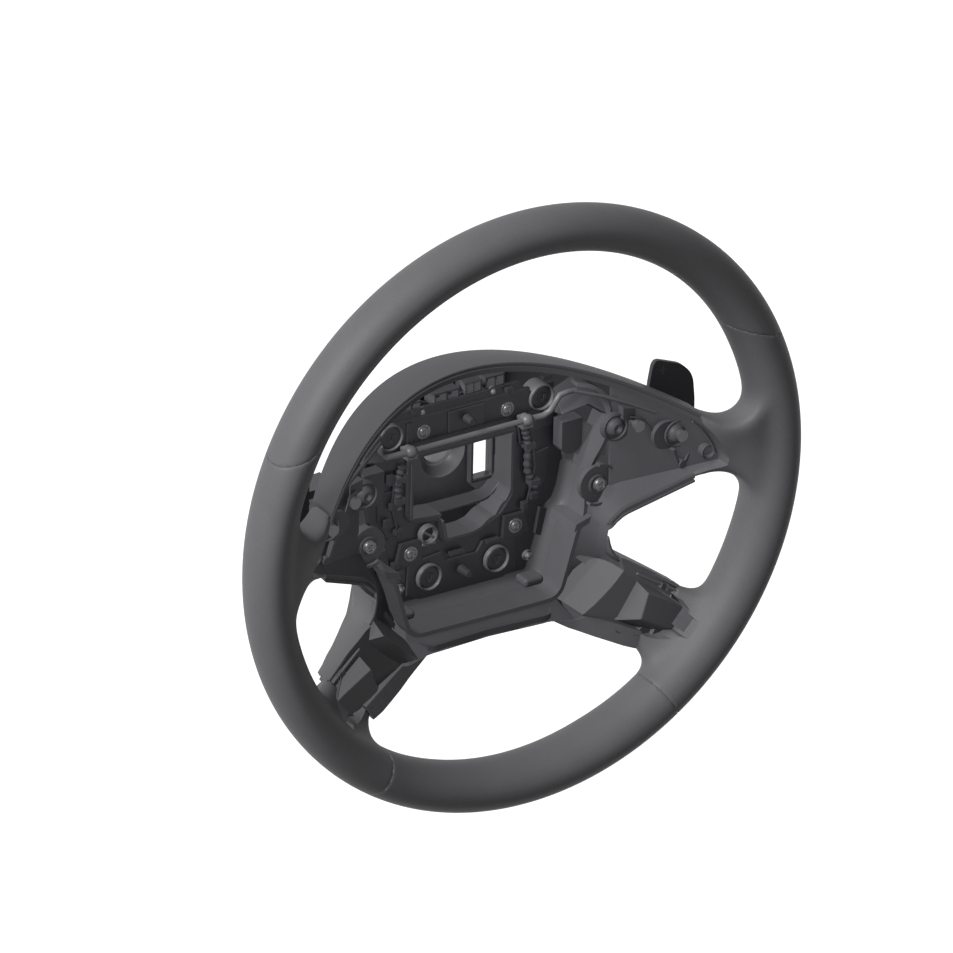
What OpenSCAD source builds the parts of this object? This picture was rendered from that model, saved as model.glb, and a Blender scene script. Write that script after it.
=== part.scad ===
// Bare car steering wheel with four spokes: armature, foam, leather, covers and shift paddles.
// X is to the right as the driver sees it, Z is up to 12 o'clock and Y points away from the driver.
// The origin is the centre of the column bore at the back face of the hub.

/* [Rim] */
// Radius of the circle through the middle of the rim
rim_r = 171; // [165:1:180]
// Longer half width of the oval rim section
grip_long = 18; // [16:0.5:20]
// Shorter half width of the oval rim section
grip_short = 13.8; // [12.5:0.1:15]
// Lean of the oval section, its front end outwards
grip_lean = 12; // [0:1:20]
// Thickness of the leather
leather_t = 1.2; // [0.8:0.1:2]
// Radius of the armature ring inside the rim
ring_r = 6; // [5:0.5:8]
// Angle of the upper leather seams above 3 and 9 o'clock
seam_up = 23.5; // [18:0.5:32]
// Angle of the lower leather seams below 3 and 9 o'clock
seam_low = 56; // [50:0.5:62]

/* [Hub] */
// Distance from the rim's middle plane to the back face of the hub
dish = 98; // [90:1:110]
// Radius of the splined column bore
bore_r = 8.5; // [7:0.25:10]
// Length of the column bore
bore_l = 14; // [10:1:20]
// Radius of the steel hub sleeve
sleeve_r = 15; // [13:0.5:18]
// Radius of the hub boss
boss_r = 22; // [19:0.5:26]
// Depth of the hub pan's floor behind the rim plane
pan_y = 80; // [78:1:84]
// Thickness of the hub pan
pan_t = 3; // [2:0.5:5]

/* [Shell] */
// Height of the top band's lip above the hub centre
lip_z = 62.7; // [58:0.5:68]
// Depth of the lip behind the rim plane
lip_y = 57; // [52:0.5:60]
// Width of the flat lip
lip_w = 5.8; // [4:0.2:8]
// Wall of the moulded covers
wall = 2.5; // [2:0.1:3.5]

/* [Module carrier] */
// Depth of the carrier's front edge behind the rim plane
carrier_front = 33; // [30:1:38]
// Depth of the base plate's front face behind the rim plane
plate_y = 60; // [58:0.5:64]
// Thickness of the base plate
plate_t = 3; // [2:0.5:5]
// Wall of the module carrier
carrier_wall = 2.6; // [2:0.1:3.5]
// Distance of each ear screw from the middle
ear_x = 76.9; // [72:0.1:80]
// Height of the ear screws
ear_z = -21; // [-26:0.5:-16]

/* [Dampers] */
// Outer radius of a damper cup
damper_r = 8.3; // [7.5:0.1:9.5]
// Depth of the damper cups' front face behind the rim plane
damper_front = 55.8; // [54:0.1:58]

/* [Paddles] */
// Depth of the paddle blade's front face behind the rim plane
blade_y = 43; // [42:0.5:46]
// Thickness of the paddle blade
blade_t = 3; // [2.5:0.1:4]
// Radius of the paddle's pivot pin
pin_r = 1.5; // [1.2:0.1:2]
// Radial running clearance of the paddle on its pin
pin_gap = 0.08; // [0.03:0.01:0.1]

/* [Hidden] */
$fn = 48;
charcoal = [0.17, 0.17, 0.18];
black = [0.12, 0.12, 0.13];
grey = [0.3, 0.3, 0.32];
steel = [0.55, 0.56, 0.58];
magnesium = [0.42, 0.42, 0.43];

// The rim: points of the leaning oval, shrunk by inset, in the plane of radius and depth
rim_pts = 40;
function oval(inset) = [for (i = [0 : rim_pts - 1])
    let (t = 360 * i / rim_pts, a = (grip_long - inset) * cos(t), b = (grip_short - inset) * sin(t))
    [rim_r - a * sin(grip_lean) + b * cos(grip_lean), a * cos(grip_lean) + b * sin(grip_lean)]];

// Everything is drawn from the rim's middle plane and moved so that the hub's back face is at the origin
module placed() translate([0, -dish, 0]) children();
module both() {
    children();
    mirror([1, 0, 0]) children();
}
// Turn a section drawn in radius and depth round the wheel's axis, from one clock angle to another
module swept(from, to) rotate([-90, 0, 0]) rotate([0, 0, -to])
    rotate_extrude(angle = to - from, $fn = 144) children();
// A plate drawn in X and Z, from one depth to another
module plate(y0, y1) translate([0, y1, 0]) rotate([90, 0, 0]) linear_extrude(y1 - y0) children();
// A round bar along the depth
module stub(x, z, y0, y1, r) translate([x, y0, z]) rotate([-90, 0, 0]) cylinder(h = y1 - y0, r = r);
// A round bar between two points
module bar(p, q, r) {
    d = q - p;
    l = norm(d);
    translate(p) rotate([0, acos(d[2] / l), atan2(d[1], d[0])]) cylinder(h = l, r = r, $fn = 20);
}
// A round tube along a path that stays nearly in one depth
function unit(v) = v / norm(v);
function lead(path, i) = i == 0 ? unit(path[1] - path[0])
    : i == len(path) - 1 ? unit(path[i] - path[i - 1])
    : unit(unit(path[i + 1] - path[i]) + unit(path[i] - path[i - 1]));
module tube(path, r) loft([for (i = [0 : len(path) - 1])
    let (t = lead(path, i), u = unit(cross(t, [0, 1, 0])), v = cross(u, t))
    [for (k = [0 : 11]) path[i] + r * cos(30 * k) * u + r * sin(30 * k) * v]]);
// The faces that close one end of a skin. A thin wall's section runs out along one side and back along
// the other, so its end is closed in pairs of points from one side to the other
function cap(n, first, wall_section) = !wall_section ? [[for (i = [0 : n - 1]) first + i]]
    : [for (i = [0 : floor(n / 2) - 2]) for (f = [[i, i + 1, n - 2 - i], [i, n - 2 - i, n - 1 - i]])
        [for (k = f) first + k]];
function reversed(face) = [for (i = [len(face) - 1 : -1 : 0]) face[i]];
// A closed skin through sections with the same number of points
module loft(sections, wall_section = false) {
    n = len(sections[0]);
    m = len(sections);
    polyhedron(
        points = [for (s = sections) for (p = s) p],
        faces = concat(
            [for (f = cap(n, 0, wall_section)) reversed(f)],
            [for (j = [0 : m - 2]) for (i = [0 : n - 1])
                let (a = j * n + i, b = j * n + (i + 1) % n) [a, b + n, a + n]],
            [for (j = [0 : m - 2]) for (i = [0 : n - 1])
                let (a = j * n + i, b = j * n + (i + 1) % n) [a, b, b + n]],
            cap(n, (m - 1) * n, wall_section)));
}

// The shell's curves: parabolas across the wheel
function lip_depth(x) = lip_y - 0.0034 * x * x;
function lip_height(x) = lip_z - 0.00243 * x * x;
function rear_depth(x) = lip_y + 31.5 - 0.0041 * x * x;
function rear_height(x) = lip_z - 5.2 - 0.0021 * x * x;
// The lower edge of the shell: flat under the hub, then up along the window and out to the rim
shell_x = 127;
hub_x = 46;
elbow_x = 84;
hub_low_z = -94.5;
flange = 4;
function edge_height(x) = let (a = abs(x))
    a < hub_x ? hub_low_z
    : a < elbow_x ? hub_low_z + (a - hub_x) * (hub_low_z * -1 - 39.5) / (elbow_x - hub_x)
    : -39.5 + 0.47 * (a - elbow_x);
function edge_depth(x) = let (a = abs(x)) a < elbow_x ? 25 : 25 - 0.38 * (a - elbow_x);
function edge_back(x) = let (a = abs(x)) a < elbow_x ? min(82, 53 + 0.8 * (elbow_x - a))
    : edge_depth(x) + 28 - 8 * (a - elbow_x) / (shell_x - elbow_x);
function mid_back(x) = let (a = abs(x)) a < elbow_x ? min(92, 63.3 + 0.75 * (elbow_x - a))
    : (rear_depth(x) + edge_back(x)) / 2 + 7 - 6 * (a - elbow_x) / (shell_x - elbow_x);
mid_z = 14;
function tray_depth(x) = 33 - 0.5 * (abs(x) - 91);
function ramp_height(x) = -21.5 + 0.245 * (abs(x) - 89);
function top_inside(x, y) = let (y0 = lip_depth(x) + wall, y1 = rear_depth(x) - wall,
    z0 = lip_height(x) - wall, z1 = rear_height(x) - wall) z0 + (z1 - z0) * (y - y0) / (y1 - y0);

shell_stations = [for (i = [-20 : 20]) shell_x * i / 20];
function shell_outer(x) = [
    [x, lip_depth(x), lip_height(x)],
    [x, rear_depth(x), rear_height(x)],
    [x, mid_back(x), mid_z],
    [x, mid_back(x), -mid_z],
    [x, edge_back(x), edge_height(x) + 3],
    [x, edge_depth(x), edge_height(x)]];
function shell_section(x) = concat(
    [[x, lip_depth(x), lip_height(x) - lip_w]],
    shell_outer(x), [
    [x, edge_depth(x), edge_height(x) + flange],
    [x, edge_depth(x) + wall, edge_height(x) + flange],
    [x, edge_depth(x) + wall, edge_height(x) + wall],
    [x, edge_back(x) - wall, edge_height(x) + 3 + wall],
    [x, mid_back(x) - wall, -mid_z],
    [x, mid_back(x) - wall, mid_z],
    [x, rear_depth(x) - wall, rear_height(x) - wall],
    [x, lip_depth(x) + wall, lip_height(x) - wall],
    [x, lip_depth(x) + wall, lip_height(x) - lip_w]]);
module shell_block() loft([for (x = shell_stations) shell_outer(x)]);
// The spokes' cast bars, drawn in radius and depth
up_bar = [[30, pan_y], [54, 74], [62, 64], [70, 58], [88, 45.5], [93, 36], [127, 18.5], [rim_r - 11, 0],
          [rim_r - 5, -4], [rim_r, -4], [rim_r, 4], [rim_r - 5, 4], [127, 23.5], [104, 39], [90, 49],
          [66, 66.5], [52, 76], [40, pan_y + pan_t], [30, pan_y + pan_t]];
low_bar = [[30, pan_y], [60, 72], [82, 65], [94, 43], [103, 34], [119, 24], [133, 19], [140, 16],
           [rim_r - 11, 0], [rim_r - 5, -4], [rim_r, -4], [rim_r, 4], [rim_r - 5, 4], [rim_r - 11, 7],
           [140, 21.5], [133, 25], [119, 31], [103, 42], [96, 52], [86, 68], [66, 76],
           [44, pan_y + pan_t], [30, pan_y + pan_t]];
low_angle = 41.5;
module upper_bar() translate([0, 0, -9]) linear_extrude(18) polygon(up_bar);
module lower_bar() rotate([0, low_angle, 0]) translate([0, 0, -6]) linear_extrude(12) polygon(low_bar);
// A point at a radius along the lower spoke and a distance across it, upwards
function low_point(r, w) = [r * cos(low_angle) + w * sin(low_angle),
                            -r * sin(low_angle) + w * cos(low_angle)];
function low_ring(r, y0, y1, up, down) = let (t = low_point(r, up), b = low_point(r, -down))
    [[t[0], y0, t[1]], [t[0], y1, t[1]], [b[0], y1, b[1]], [b[0], y0, b[1]]];

pan_edge = [[0, 31], [22, 38], [36, 36], [42, 26], [42, -26], [44, -50], [38, -53], [27, -50], [24, -30],
            [0, -30]];
post_r = 5;
screw_r = 1.95;
cable_low = [19, -20];
cable_size = [12, 23];
screw_at = [[28.3, 30], [35.4, -45.2]];
module armature() color(magnesium) placed() difference() {
    union() {
        swept(0, 360) translate([rim_r, 0]) circle(r = ring_r, $fn = 24);
        both() upper_bar();
        both() lower_bar();
        plate(pan_y, pan_y + pan_t) polygon(concat(pan_edge, [for (i = [len(pan_edge) - 2 : -1 : 1])
            [-pan_edge[i][0], pan_edge[i][1]]]));
        stub(0, 0, pan_y, dish, boss_r);
        both() for (p = screw_at) stub(p[0], p[1], plate_y + plate_t, pan_y + 1, post_r);
    }
    stub(0, 0, pan_y - 1, dish + 1, sleeve_r);
    plate(pan_y - 1, dish + 1) translate(cable_low) square(cable_size);
    both() for (p = screw_at) stub(p[0], p[1], plate_y, plate_y + 9, screw_r);
}

module hub_sleeve() color(steel) placed() difference() {
    stub(0, 0, pan_y, dish, sleeve_r);
    stub(0, 0, pan_y - 1, dish - bore_l, 12);
    stub(0, 0, pan_y, dish + 1, bore_r);
}

// Where the spokes run into the rim: skins through sections, shrunk by a thickness t
function up_end(x, y0, z0, y1, z1, y2, z2, y3, z3, t) = [[x, y0 + t, z0 - t], [x, y1, z1 - t],
    [x, y2 - t, 10], [x, y2 - t, -8], [x, y2 - t - 2, z2 + t], [x, y3 + t, z3 + t]];
module up_root(t) loft([
    up_end(127, lip_depth(127), lip_height(127), rear_depth(127), rear_height(127), 27, -16.3,
           8.7, -19.3, t),
    up_end(140, -6, 17, 14, 19, 23, -13, 4, -15, t),
    up_end(rim_r - 16, -12, 14, 8, 16, 16, -12, -4, -13, t),
    up_end(rim_r - 7, -13, 14, 5, 15, 13, -12, -8, -13, t)]);
low_up = 15;
low_down = 28;
module low_root(t) loft([low_ring(140, 14 + t, 25 - t, low_up - t, low_down - t),
    low_ring(rim_r - 21, 5 + t, 20 - t, low_up - t, low_down + 1 - t),
    low_ring(rim_r - 13, -6 + t, 14 - t, low_up + 4 - t, low_down + 5 - t),
    low_ring(rim_r - 7, -10 + t, 11 - t, low_up + 8 - t, low_down + 10 - t)]);
module rim_foam() color(grey) placed() difference() {
    swept(0, 360) polygon(oval(leather_t));
    swept(0, 360) translate([rim_r, 0]) circle(r = ring_r, $fn = 24);
    both() upper_bar();
    both() lower_bar();
}
module leather(from, to) swept(from, to) difference() {
    polygon(oval(0));
    polygon(oval(leather_t));
}
module leather_top() color(charcoal) placed() leather(seam_up, 180 - seam_up);
module leather_bottom() color(charcoal) placed() leather(180 + seam_low, 360 - seam_low);
module leather_right() color(charcoal) placed() leather_side();
module leather_left() color(charcoal) placed() mirror([1, 0, 0]) leather_side();
module leather_side() difference() {
    union() {
        swept(-seam_low, seam_up) polygon(oval(0));
        up_root(0);
        low_root(0);
    }
    swept(-90, 90) polygon(oval(leather_t));
    upper_bar();
    lower_bar();
}

// The shell is in four parts: the top band with its lip, the cover behind the hub and the two upper spokes
split = 13;
cover_posts = [[30, 24], [34, -44]];
function band_section(x) = [
    [x, lip_depth(x), lip_height(x) - lip_w],
    [x, lip_depth(x), lip_height(x)],
    [x, rear_depth(x), rear_height(x)],
    [x, rear_depth(x) - wall, rear_height(x) - wall],
    [x, lip_depth(x) + wall, lip_height(x) - wall],
    [x, lip_depth(x) + wall, lip_height(x) - lip_w]];
function rear_section(x) = [
    [x, rear_depth(x), rear_height(x)],
    [x, mid_back(x), mid_z],
    [x, mid_back(x), -mid_z],
    [x, edge_back(x), edge_height(x) + 3],
    [x, edge_depth(x), edge_height(x)],
    [x, edge_depth(x), edge_height(x) + flange],
    [x, edge_depth(x) + wall, edge_height(x) + flange],
    [x, edge_depth(x) + wall, edge_height(x) + wall],
    [x, edge_back(x) - wall, edge_height(x) + 3 + wall],
    [x, mid_back(x) - wall, -mid_z],
    [x, mid_back(x) - wall, mid_z],
    [x, rear_depth(x) - wall, rear_height(x) - wall]];
rib_x = 28;
rib_t = 2.5;
module hub_shell() color(black) placed() union() {
    loft([for (i = [-split : split]) band_section(shell_x * i / 20)], true);
    both() translate([rib_x - rib_t / 2, 70, lip_z - 14.4]) cube([rib_t, 6, 8]);
}
module upper_spoke() loft([for (i = [split : 20]) shell_section(shell_x * i / 20)], true);
module upper_spoke_right() color(black) placed() upper_spoke();
module upper_spoke_left() color(black) placed() mirror([1, 0, 0]) upper_spoke();
module rear_cover() color(black) placed() union() {
    difference() {
        loft([for (i = [-split : split]) rear_section(shell_x * i / 20)], true);
        stub(0, 0, 60, 100, boss_r);
        plate(60, 100) translate(cable_low) square(cable_size);
        both() lower_bar();
    }
    both() for (p = cover_posts) stub(p[0], p[1], pan_y + pan_t, 90.5, 4);
}

// Lower spoke: sections from the hub out to the leather, upper edge then lower edge
low_top = [[77, -42], [81, -58], [94, -71], [106, -79], low_point(140, low_up)];
low_bottom = [[43.5, -92], [52, -99.5], [64, -105.5], [76, -111.5], low_point(140, -low_down)];
low_front = [27, 22, 19, 15.5, 14];
low_back = [53, 46, 34, 28, 25];
module low_block() loft([for (i = [0 : 4])
    let (t = low_top[i], b = low_bottom[i], f = low_front[i], k = low_back[i]) [
    [t[0], f, t[1]], [t[0], k, t[1]], [b[0], k, b[1]], [b[0], f, b[1]]]]);
module low_spoke() difference() {
    low_block();
    shell_block();
    lower_bar();
}
module lower_spoke_right() color(black) placed() low_spoke();
module lower_spoke_left() color(black) placed() mirror([1, 0, 0]) low_spoke();

tray_stations = [for (i = [14 : 20]) shell_x * i / 20];
tray_screw_at = [[96, 16], [118, 9]];
module tray() difference() {
    union() {
        loft([for (x = tray_stations) [
            [x, tray_depth(x) + 2, top_inside(x, tray_depth(x) + 2)],
            [x, tray_depth(x) + 2, ramp_height(x) - 1],
            [x, edge_depth(x) + wall, edge_height(x) + wall],
            [x, edge_depth(x) + wall, edge_height(x) + flange],
            [x, tray_depth(x), ramp_height(x)],
            [x, tray_depth(x), top_inside(x, tray_depth(x))]]], true);
        for (p = tray_screw_at) stub(p[0], p[1], tray_depth(p[0]) - 4, tray_depth(p[0]) + 0.4, 6);
    }
    for (p = tray_screw_at) stub(p[0], p[1], tray_depth(p[0]) - 5, tray_depth(p[0]) + 6, screw_r);
}
module spoke_tray_right() color(charcoal) placed() tray();
module spoke_tray_left() color(charcoal) placed() mirror([1, 0, 0]) tray();
module tray_screws() color(steel) placed() both() for (p = tray_screw_at) union() {
    stub(p[0], p[1], tray_depth(p[0]) - 7, tray_depth(p[0]) - 4, 3.5);
    stub(p[0], p[1], tray_depth(p[0]) - 5, tray_depth(p[0]) + 1, screw_r);
}

// Module carrier: one wall round the tub, open at the top, with an ear on each side
carrier_path = [[0, -83], [47.5, -82.7], [52.5, -74], [61, -42.5], [68, -40], [73, -26], [74.7, -8], [80, 8],
                [85, 18], [83, 28], [76, 38]];
strap_front = 36;
strap_back = 45;
ear_y = 38;
ear_t = 3;
module carrier_outline() polygon(concat(carrier_path, [for (i = [len(carrier_path) - 1 : -1 : 1])
    [-carrier_path[i][0], carrier_path[i][1]]]));
module carrier_band(z0, z1) intersection() {
    difference() {
        carrier_outline();
        offset(delta = -carrier_wall) carrier_outline();
    }
    translate([-100, z0]) square([200, z1 - z0]);
}
module module_carrier() color(charcoal) placed() difference() {
    union() {
        plate(carrier_front, plate_y) carrier_band(-90, -40);
        plate(strap_front, strap_back) carrier_band(-46, 32);
        both() stub(ear_x + 1, ear_z, ear_y, ear_y + ear_t, 11);
    }
    both() stub(ear_x + 1, ear_z, 30, 50, 2.5);
    plate(ear_y - 1, ear_y + ear_t + 1) translate([-68, -36]) square([136, 30]);
}
module ear_screws() color(steel) placed() both() union() {
    stub(ear_x + 1, ear_z, ear_y - 4, ear_y, 4.4);
    stub(ear_x + 1, ear_z, ear_y - 1, 48, 2.4);
}

// Base plate with the well opening
plate_edge = [[0, -83], [47.5, -82.7], [52.5, -74], [61, -42.5], [61, 38], [40, 47], [0, 47]];
well_edge = [[33, 14], [33, -25], [24, -36], [6, -43], [-12, -43], [-15, -27], [-36, -24], [-36, 14]];
well_t = 2;
well_back = 74;
module plate_outline() polygon(concat(plate_edge, [for (i = [len(plate_edge) - 2 : -1 : 1])
    [-plate_edge[i][0], plate_edge[i][1]]]));
top_damper = [51, 32];
low_damper = [22.8, -62.8];
peg_at = [[0, 32], [0, -64]];
peg_r = 3;
dome_at = [[-28.6, 42], [19, 43], [-41, -67], [45, -67]];
module base_plate() color(black) placed() difference() {
    plate(plate_y, plate_y + plate_t) difference() {
        plate_outline();
        offset(delta = well_t) polygon(well_edge);
    }
    both() for (p = [top_damper, low_damper]) stub(p[0], p[1], 50, 70, damper_r);
    both() for (p = screw_at) stub(p[0], p[1], 50, 70, 2.2);
}
module well_wall() color(charcoal) placed() plate(plate_y - 4, well_back) difference() {
    offset(delta = well_t) polygon(well_edge);
    polygon(well_edge);
}
damper_back = 66;
module damper_cups() color(grey) placed() both() for (p = [top_damper, low_damper]) difference() {
    stub(p[0], p[1], damper_front, damper_back, damper_r);
    stub(p[0], p[1], damper_front - 1, damper_back - 1.5, damper_r - 1.2);
}
module damper_caps() color(black) placed() both() for (p = [top_damper, low_damper]) difference() {
    stub(p[0], p[1], damper_front + 1, damper_back - 1.5, damper_r - 1.2);
    stub(p[0], p[1], damper_front, damper_front + 3, 3);
}
module plate_screws() color(steel) placed() both() for (p = screw_at) union() {
    stub(p[0], p[1], plate_y - 4, plate_y - 1, 3.2);
    stub(p[0], p[1], plate_y - 2, plate_y + 8, screw_r);
}
module plate_washers() color(steel) placed() both() for (p = screw_at) difference() {
    stub(p[0], p[1], plate_y - 1, plate_y, 5);
    stub(p[0], p[1], plate_y - 2, plate_y + 1, 2.2);
}
module locating_pegs() color(black) placed() for (p = peg_at) union() {
    stub(p[0], p[1], 50, plate_y, peg_r);
    stub(p[0], p[1], plate_y - 1.5, plate_y, 4.2);
}
module dome_posts() color(black) placed() for (p = dome_at) union() {
    stub(p[0], p[1], plate_y - 3, plate_y, 1.8);
    stub(p[0], p[1], plate_y - 3.6, plate_y - 2, 1.2);
}
wire_y = 53.5;
wire_r = 1.3;
wire_path = [[-60, 51, 28], [-58.8, wire_y, 22.7], [-50, wire_y, 22], [50.4, wire_y, 22], [54.5, 51, 26.5],
             [58, 50, 34.7], [70, 50, 34.4]];
module contact_wire() color(grey) placed() tube(wire_path, wire_r);
module wire_bosses() color(grey) placed() both() difference() {
    union() {
        translate([35.2, wire_y - 3, 19]) cube([6, 6, 6]);
        stub(38.2, 22, wire_y, plate_y, 2.8);
    }
    tube([[30, wire_y, 22], [46, wire_y, 22]], wire_r);
}
module box_clips() color(black) placed() for (x = [-42, -16, 10]) difference() {
    translate([x, 60, 47]) cube([13, 10, 5]);
    translate([x + 2, 59, 49]) cube([9, 9, 6]);
}
conduit_r = 2.6;
module conduit_right() color(black) placed() tube([[40, plate_y - conduit_r, 16],
    [43, plate_y - conduit_r, 4], [43, plate_y - conduit_r, -12],
    [49, plate_y - conduit_r, -24]], conduit_r);
module conduit_left() color(black) placed() tube([[-42.5, plate_y - conduit_r, 12],
    [-45, plate_y - conduit_r, 0], [-44, plate_y - conduit_r, -14]], conduit_r);
module connector_ring() color(grey) placed() plate(plate_y - 4, plate_y) translate([-23.5, -36])
    difference() {
    circle(r = 6);
    circle(r = 4.4);
}

// Shift paddles
blade_edge = [[115, -30], [115, 29], [117.3, 41.7], [120, 43.8], [136.2, 37.2], [142.4, 31.3], [144.6, 26],
              [146, 13.6], [146, -10], [136, -30]];
pivot = [110.5, 58];
barrel_r = 4;
barrel_half = 8.7;
module paddle() difference() {
    union() {
        plate(blade_y, blade_y + blade_t) polygon(blade_edge);
        translate([0, 0, -3]) linear_extrude(6)
            polygon([[108, 57], [108, 60], [112, 60], [121, 46], [121, 44], [116, 44], [112, 55]]);
        translate([pivot[0], pivot[1], -barrel_half]) cylinder(h = 2 * barrel_half, r = barrel_r);
    }
    translate([pivot[0], pivot[1], -barrel_half - 1]) cylinder(h = 2 * barrel_half + 2, r = pin_r + pin_gap);
}
lug_z = 9;
lug_t = 5;
module housing() difference() {
    union() {
        translate([0, 0, -mid_z]) linear_extrude(2 * mid_z) polygon([
            [tray_stations[0], mid_back(tray_stations[0])],
            [tray_stations[1], mid_back(tray_stations[1])],
            [tray_stations[2], mid_back(tray_stations[2])],
            [104, 52], [104, 66], [98, 71], [tray_stations[0], 72]]);
        for (s = [-1, 1]) translate([0, 0, s * (lug_z + lug_t / 2) - lug_t / 2]) linear_extrude(lug_t)
            polygon([[100, 54], [113, 53.5], [115, 58], [112, 62.5], [100, 66]]);
    }
    translate([pivot[0], pivot[1], -20]) cylinder(h = 40, r = pin_r);
}
module pivot_pin() translate([pivot[0], pivot[1], -14]) cylinder(h = 28, r = pin_r);
module paddle_right() color(black) placed() paddle();
module paddle_left() color(black) placed() mirror([1, 0, 0]) paddle();
module paddle_housing_right() color(charcoal) placed() housing();
module paddle_housing_left() color(charcoal) placed() mirror([1, 0, 0]) housing();
module paddle_pin_right() color(steel) placed() pivot_pin();
module paddle_pin_left() color(steel) placed() mirror([1, 0, 0]) pivot_pin();
spring_wire = 0.6;
module paddle_spring() for (s = [-1, 1]) translate([pivot[0], pivot[1], s * 5.5]) rotate_extrude($fn = 32)
    translate([barrel_r + spring_wire, 0]) circle(r = spring_wire, $fn = 14);
module paddle_spring_right() color(steel) placed() paddle_spring();
module paddle_spring_left() color(steel) placed() mirror([1, 0, 0]) paddle_spring();

armature();
hub_sleeve();
rim_foam();
leather_top();
leather_bottom();
leather_right();
leather_left();
hub_shell();
rear_cover();
upper_spoke_right();
upper_spoke_left();
lower_spoke_right();
lower_spoke_left();
spoke_tray_right();
spoke_tray_left();
module_carrier();
base_plate();
well_wall();
damper_cups();
damper_caps();
plate_screws();
plate_washers();
locating_pegs();
dome_posts();
contact_wire();
wire_bosses();
box_clips();
conduit_right();
conduit_left();
connector_ring();
ear_screws();
tray_screws();
paddle_right();
paddle_left();
paddle_housing_right();
paddle_housing_left();
paddle_pin_right();
paddle_pin_left();
paddle_spring_right();
paddle_spring_left();
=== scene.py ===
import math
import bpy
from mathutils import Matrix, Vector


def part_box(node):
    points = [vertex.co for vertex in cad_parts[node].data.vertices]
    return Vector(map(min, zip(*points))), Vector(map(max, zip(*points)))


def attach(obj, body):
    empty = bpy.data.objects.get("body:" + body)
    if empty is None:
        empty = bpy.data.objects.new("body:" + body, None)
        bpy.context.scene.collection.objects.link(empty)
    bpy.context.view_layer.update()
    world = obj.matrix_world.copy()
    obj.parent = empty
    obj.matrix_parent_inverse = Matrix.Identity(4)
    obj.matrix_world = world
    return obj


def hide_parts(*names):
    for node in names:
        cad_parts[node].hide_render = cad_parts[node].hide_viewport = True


bl_info = {
    "name": "Car Steering Wheel",
    "version": (1, 0, 0),
    "blender": (4, 5, 0),
    "location": "View3D > Sidebar > Wheel",
    "description": "Builds a bare car steering wheel with leather rim, open hub and shift paddles",
    "category": "Object",
}

import bmesh
import bpy
from bpy.props import FloatProperty, FloatVectorProperty, PointerProperty
from mathutils import Matrix, Vector

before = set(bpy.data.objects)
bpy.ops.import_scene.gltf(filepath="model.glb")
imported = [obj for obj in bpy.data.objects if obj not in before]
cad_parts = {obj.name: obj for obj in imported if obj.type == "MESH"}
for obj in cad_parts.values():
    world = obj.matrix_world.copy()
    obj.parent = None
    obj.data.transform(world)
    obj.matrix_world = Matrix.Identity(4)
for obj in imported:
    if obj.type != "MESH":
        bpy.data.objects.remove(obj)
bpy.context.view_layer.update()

MM = 0.001
RIM_R = 171.0
LONG, SHORT, LEAN = 17.97, 13.8, math.radians(11.87)
RIM_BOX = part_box("rim_foam")
DISH = -(RIM_BOX[0].y + RIM_BOX[1].y) / 2 / MM
SEAM_LOW = 56.0
LOW_ANGLE = math.radians(41.5)
LIP_DROP = 5.8  # height of the shell's lip along its front edge
SHELL_WALL = 2.5
SHELL_END = 124.9


def at(x, y, z):
    """A point from millimetres off the rim's middle plane to the frame."""
    return Vector((x, y - DISH, z)) * MM


# Curves of the hub shell across the wheel
def lip(x):
    return 57.0 - 0.0034 * x * x, 62.7 - 0.00243 * x * x


def rear(x):
    return 88.5 - 0.0041 * x * x, 57.5 - 0.0021 * x * x


def raw_edge(a):
    if a < 46:
        return -94.5
    if a < 84:
        return -94.5 + (a - 46) * 55 / 38
    return -39.5 + 0.47 * (a - 84)


def edge_z(x):
    a = abs(x)
    return sum(raw_edge(abs(a + d)) for d in (-5, -2.5, 0, 2.5, 5)) / 5


def edge_y(x):
    return 25 - 0.38 * max(0, abs(x) - 84)


def front_y(x):
    """Depth of the shell's lower front edge: a lip round the windows, deep behind the lower spokes."""
    a = abs(x)
    stops = ((0, 29.8), (38, 27.6), (43, 29.5), (48, 44), (70, 46), (75, 36), (79, 26.5), (84, 25))
    for (a0, y0), (a1, y1) in zip(stops, stops[1:]):
        if a < a1:
            return y0 + (y1 - y0) * (a - a0) / (a1 - a0)
    return edge_y(x)


def back_y(x):
    a = abs(x)
    return min(82, 53 + 0.8 * (84 - a)) if a < 84 else edge_y(x) + 28 - 8 * (a - 84) / 43


def mid_y(x):
    a = abs(x)
    if a < 84:
        return min(92, 63.3 + 0.75 * (84 - a))
    return (rear(x)[0] + back_y(x)) / 2 + 7 - 6 * (a - 84) / 43


def ramp_z(x):
    return -21.5 + 0.245 * (abs(x) - 89)


# Mesh helpers
def loop(bm, points):
    verts = [bm.verts.new(p) for p in points]
    return verts, [bm.edges.new((verts[i - 1], verts[i])) for i in range(len(verts))]


def skin(bm, sections):
    """Join closed sections with as many points each, one after another, and close the ends."""
    rows = [loop(bm, s)[0] for s in sections]
    for a, b in zip(rows, rows[1:]):
        for i in range(len(a)):
            bm.faces.new((a[i - 1], a[i], b[i], b[i - 1]))
    for row in (rows[0], rows[-1]):
        bm.faces.new(row)


def thicken(bm, points, push):
    """A closed outline made a face and extruded along a direction, in metres."""
    face = bm.faces.new(loop(bm, points)[0])
    out = bmesh.ops.extrude_face_region(bm, geom=[face])
    moved = [v for v in out["geom"] if isinstance(v, bmesh.types.BMVert)]
    bmesh.ops.translate(bm, verts=moved, vec=push)


def prism(bm, outline, y0, y1):
    """Extrude an outline drawn in X and Z along the depth."""
    thicken(bm, [at(x, y0, z) for x, z in outline], (0, (y1 - y0) * MM, 0))


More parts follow.
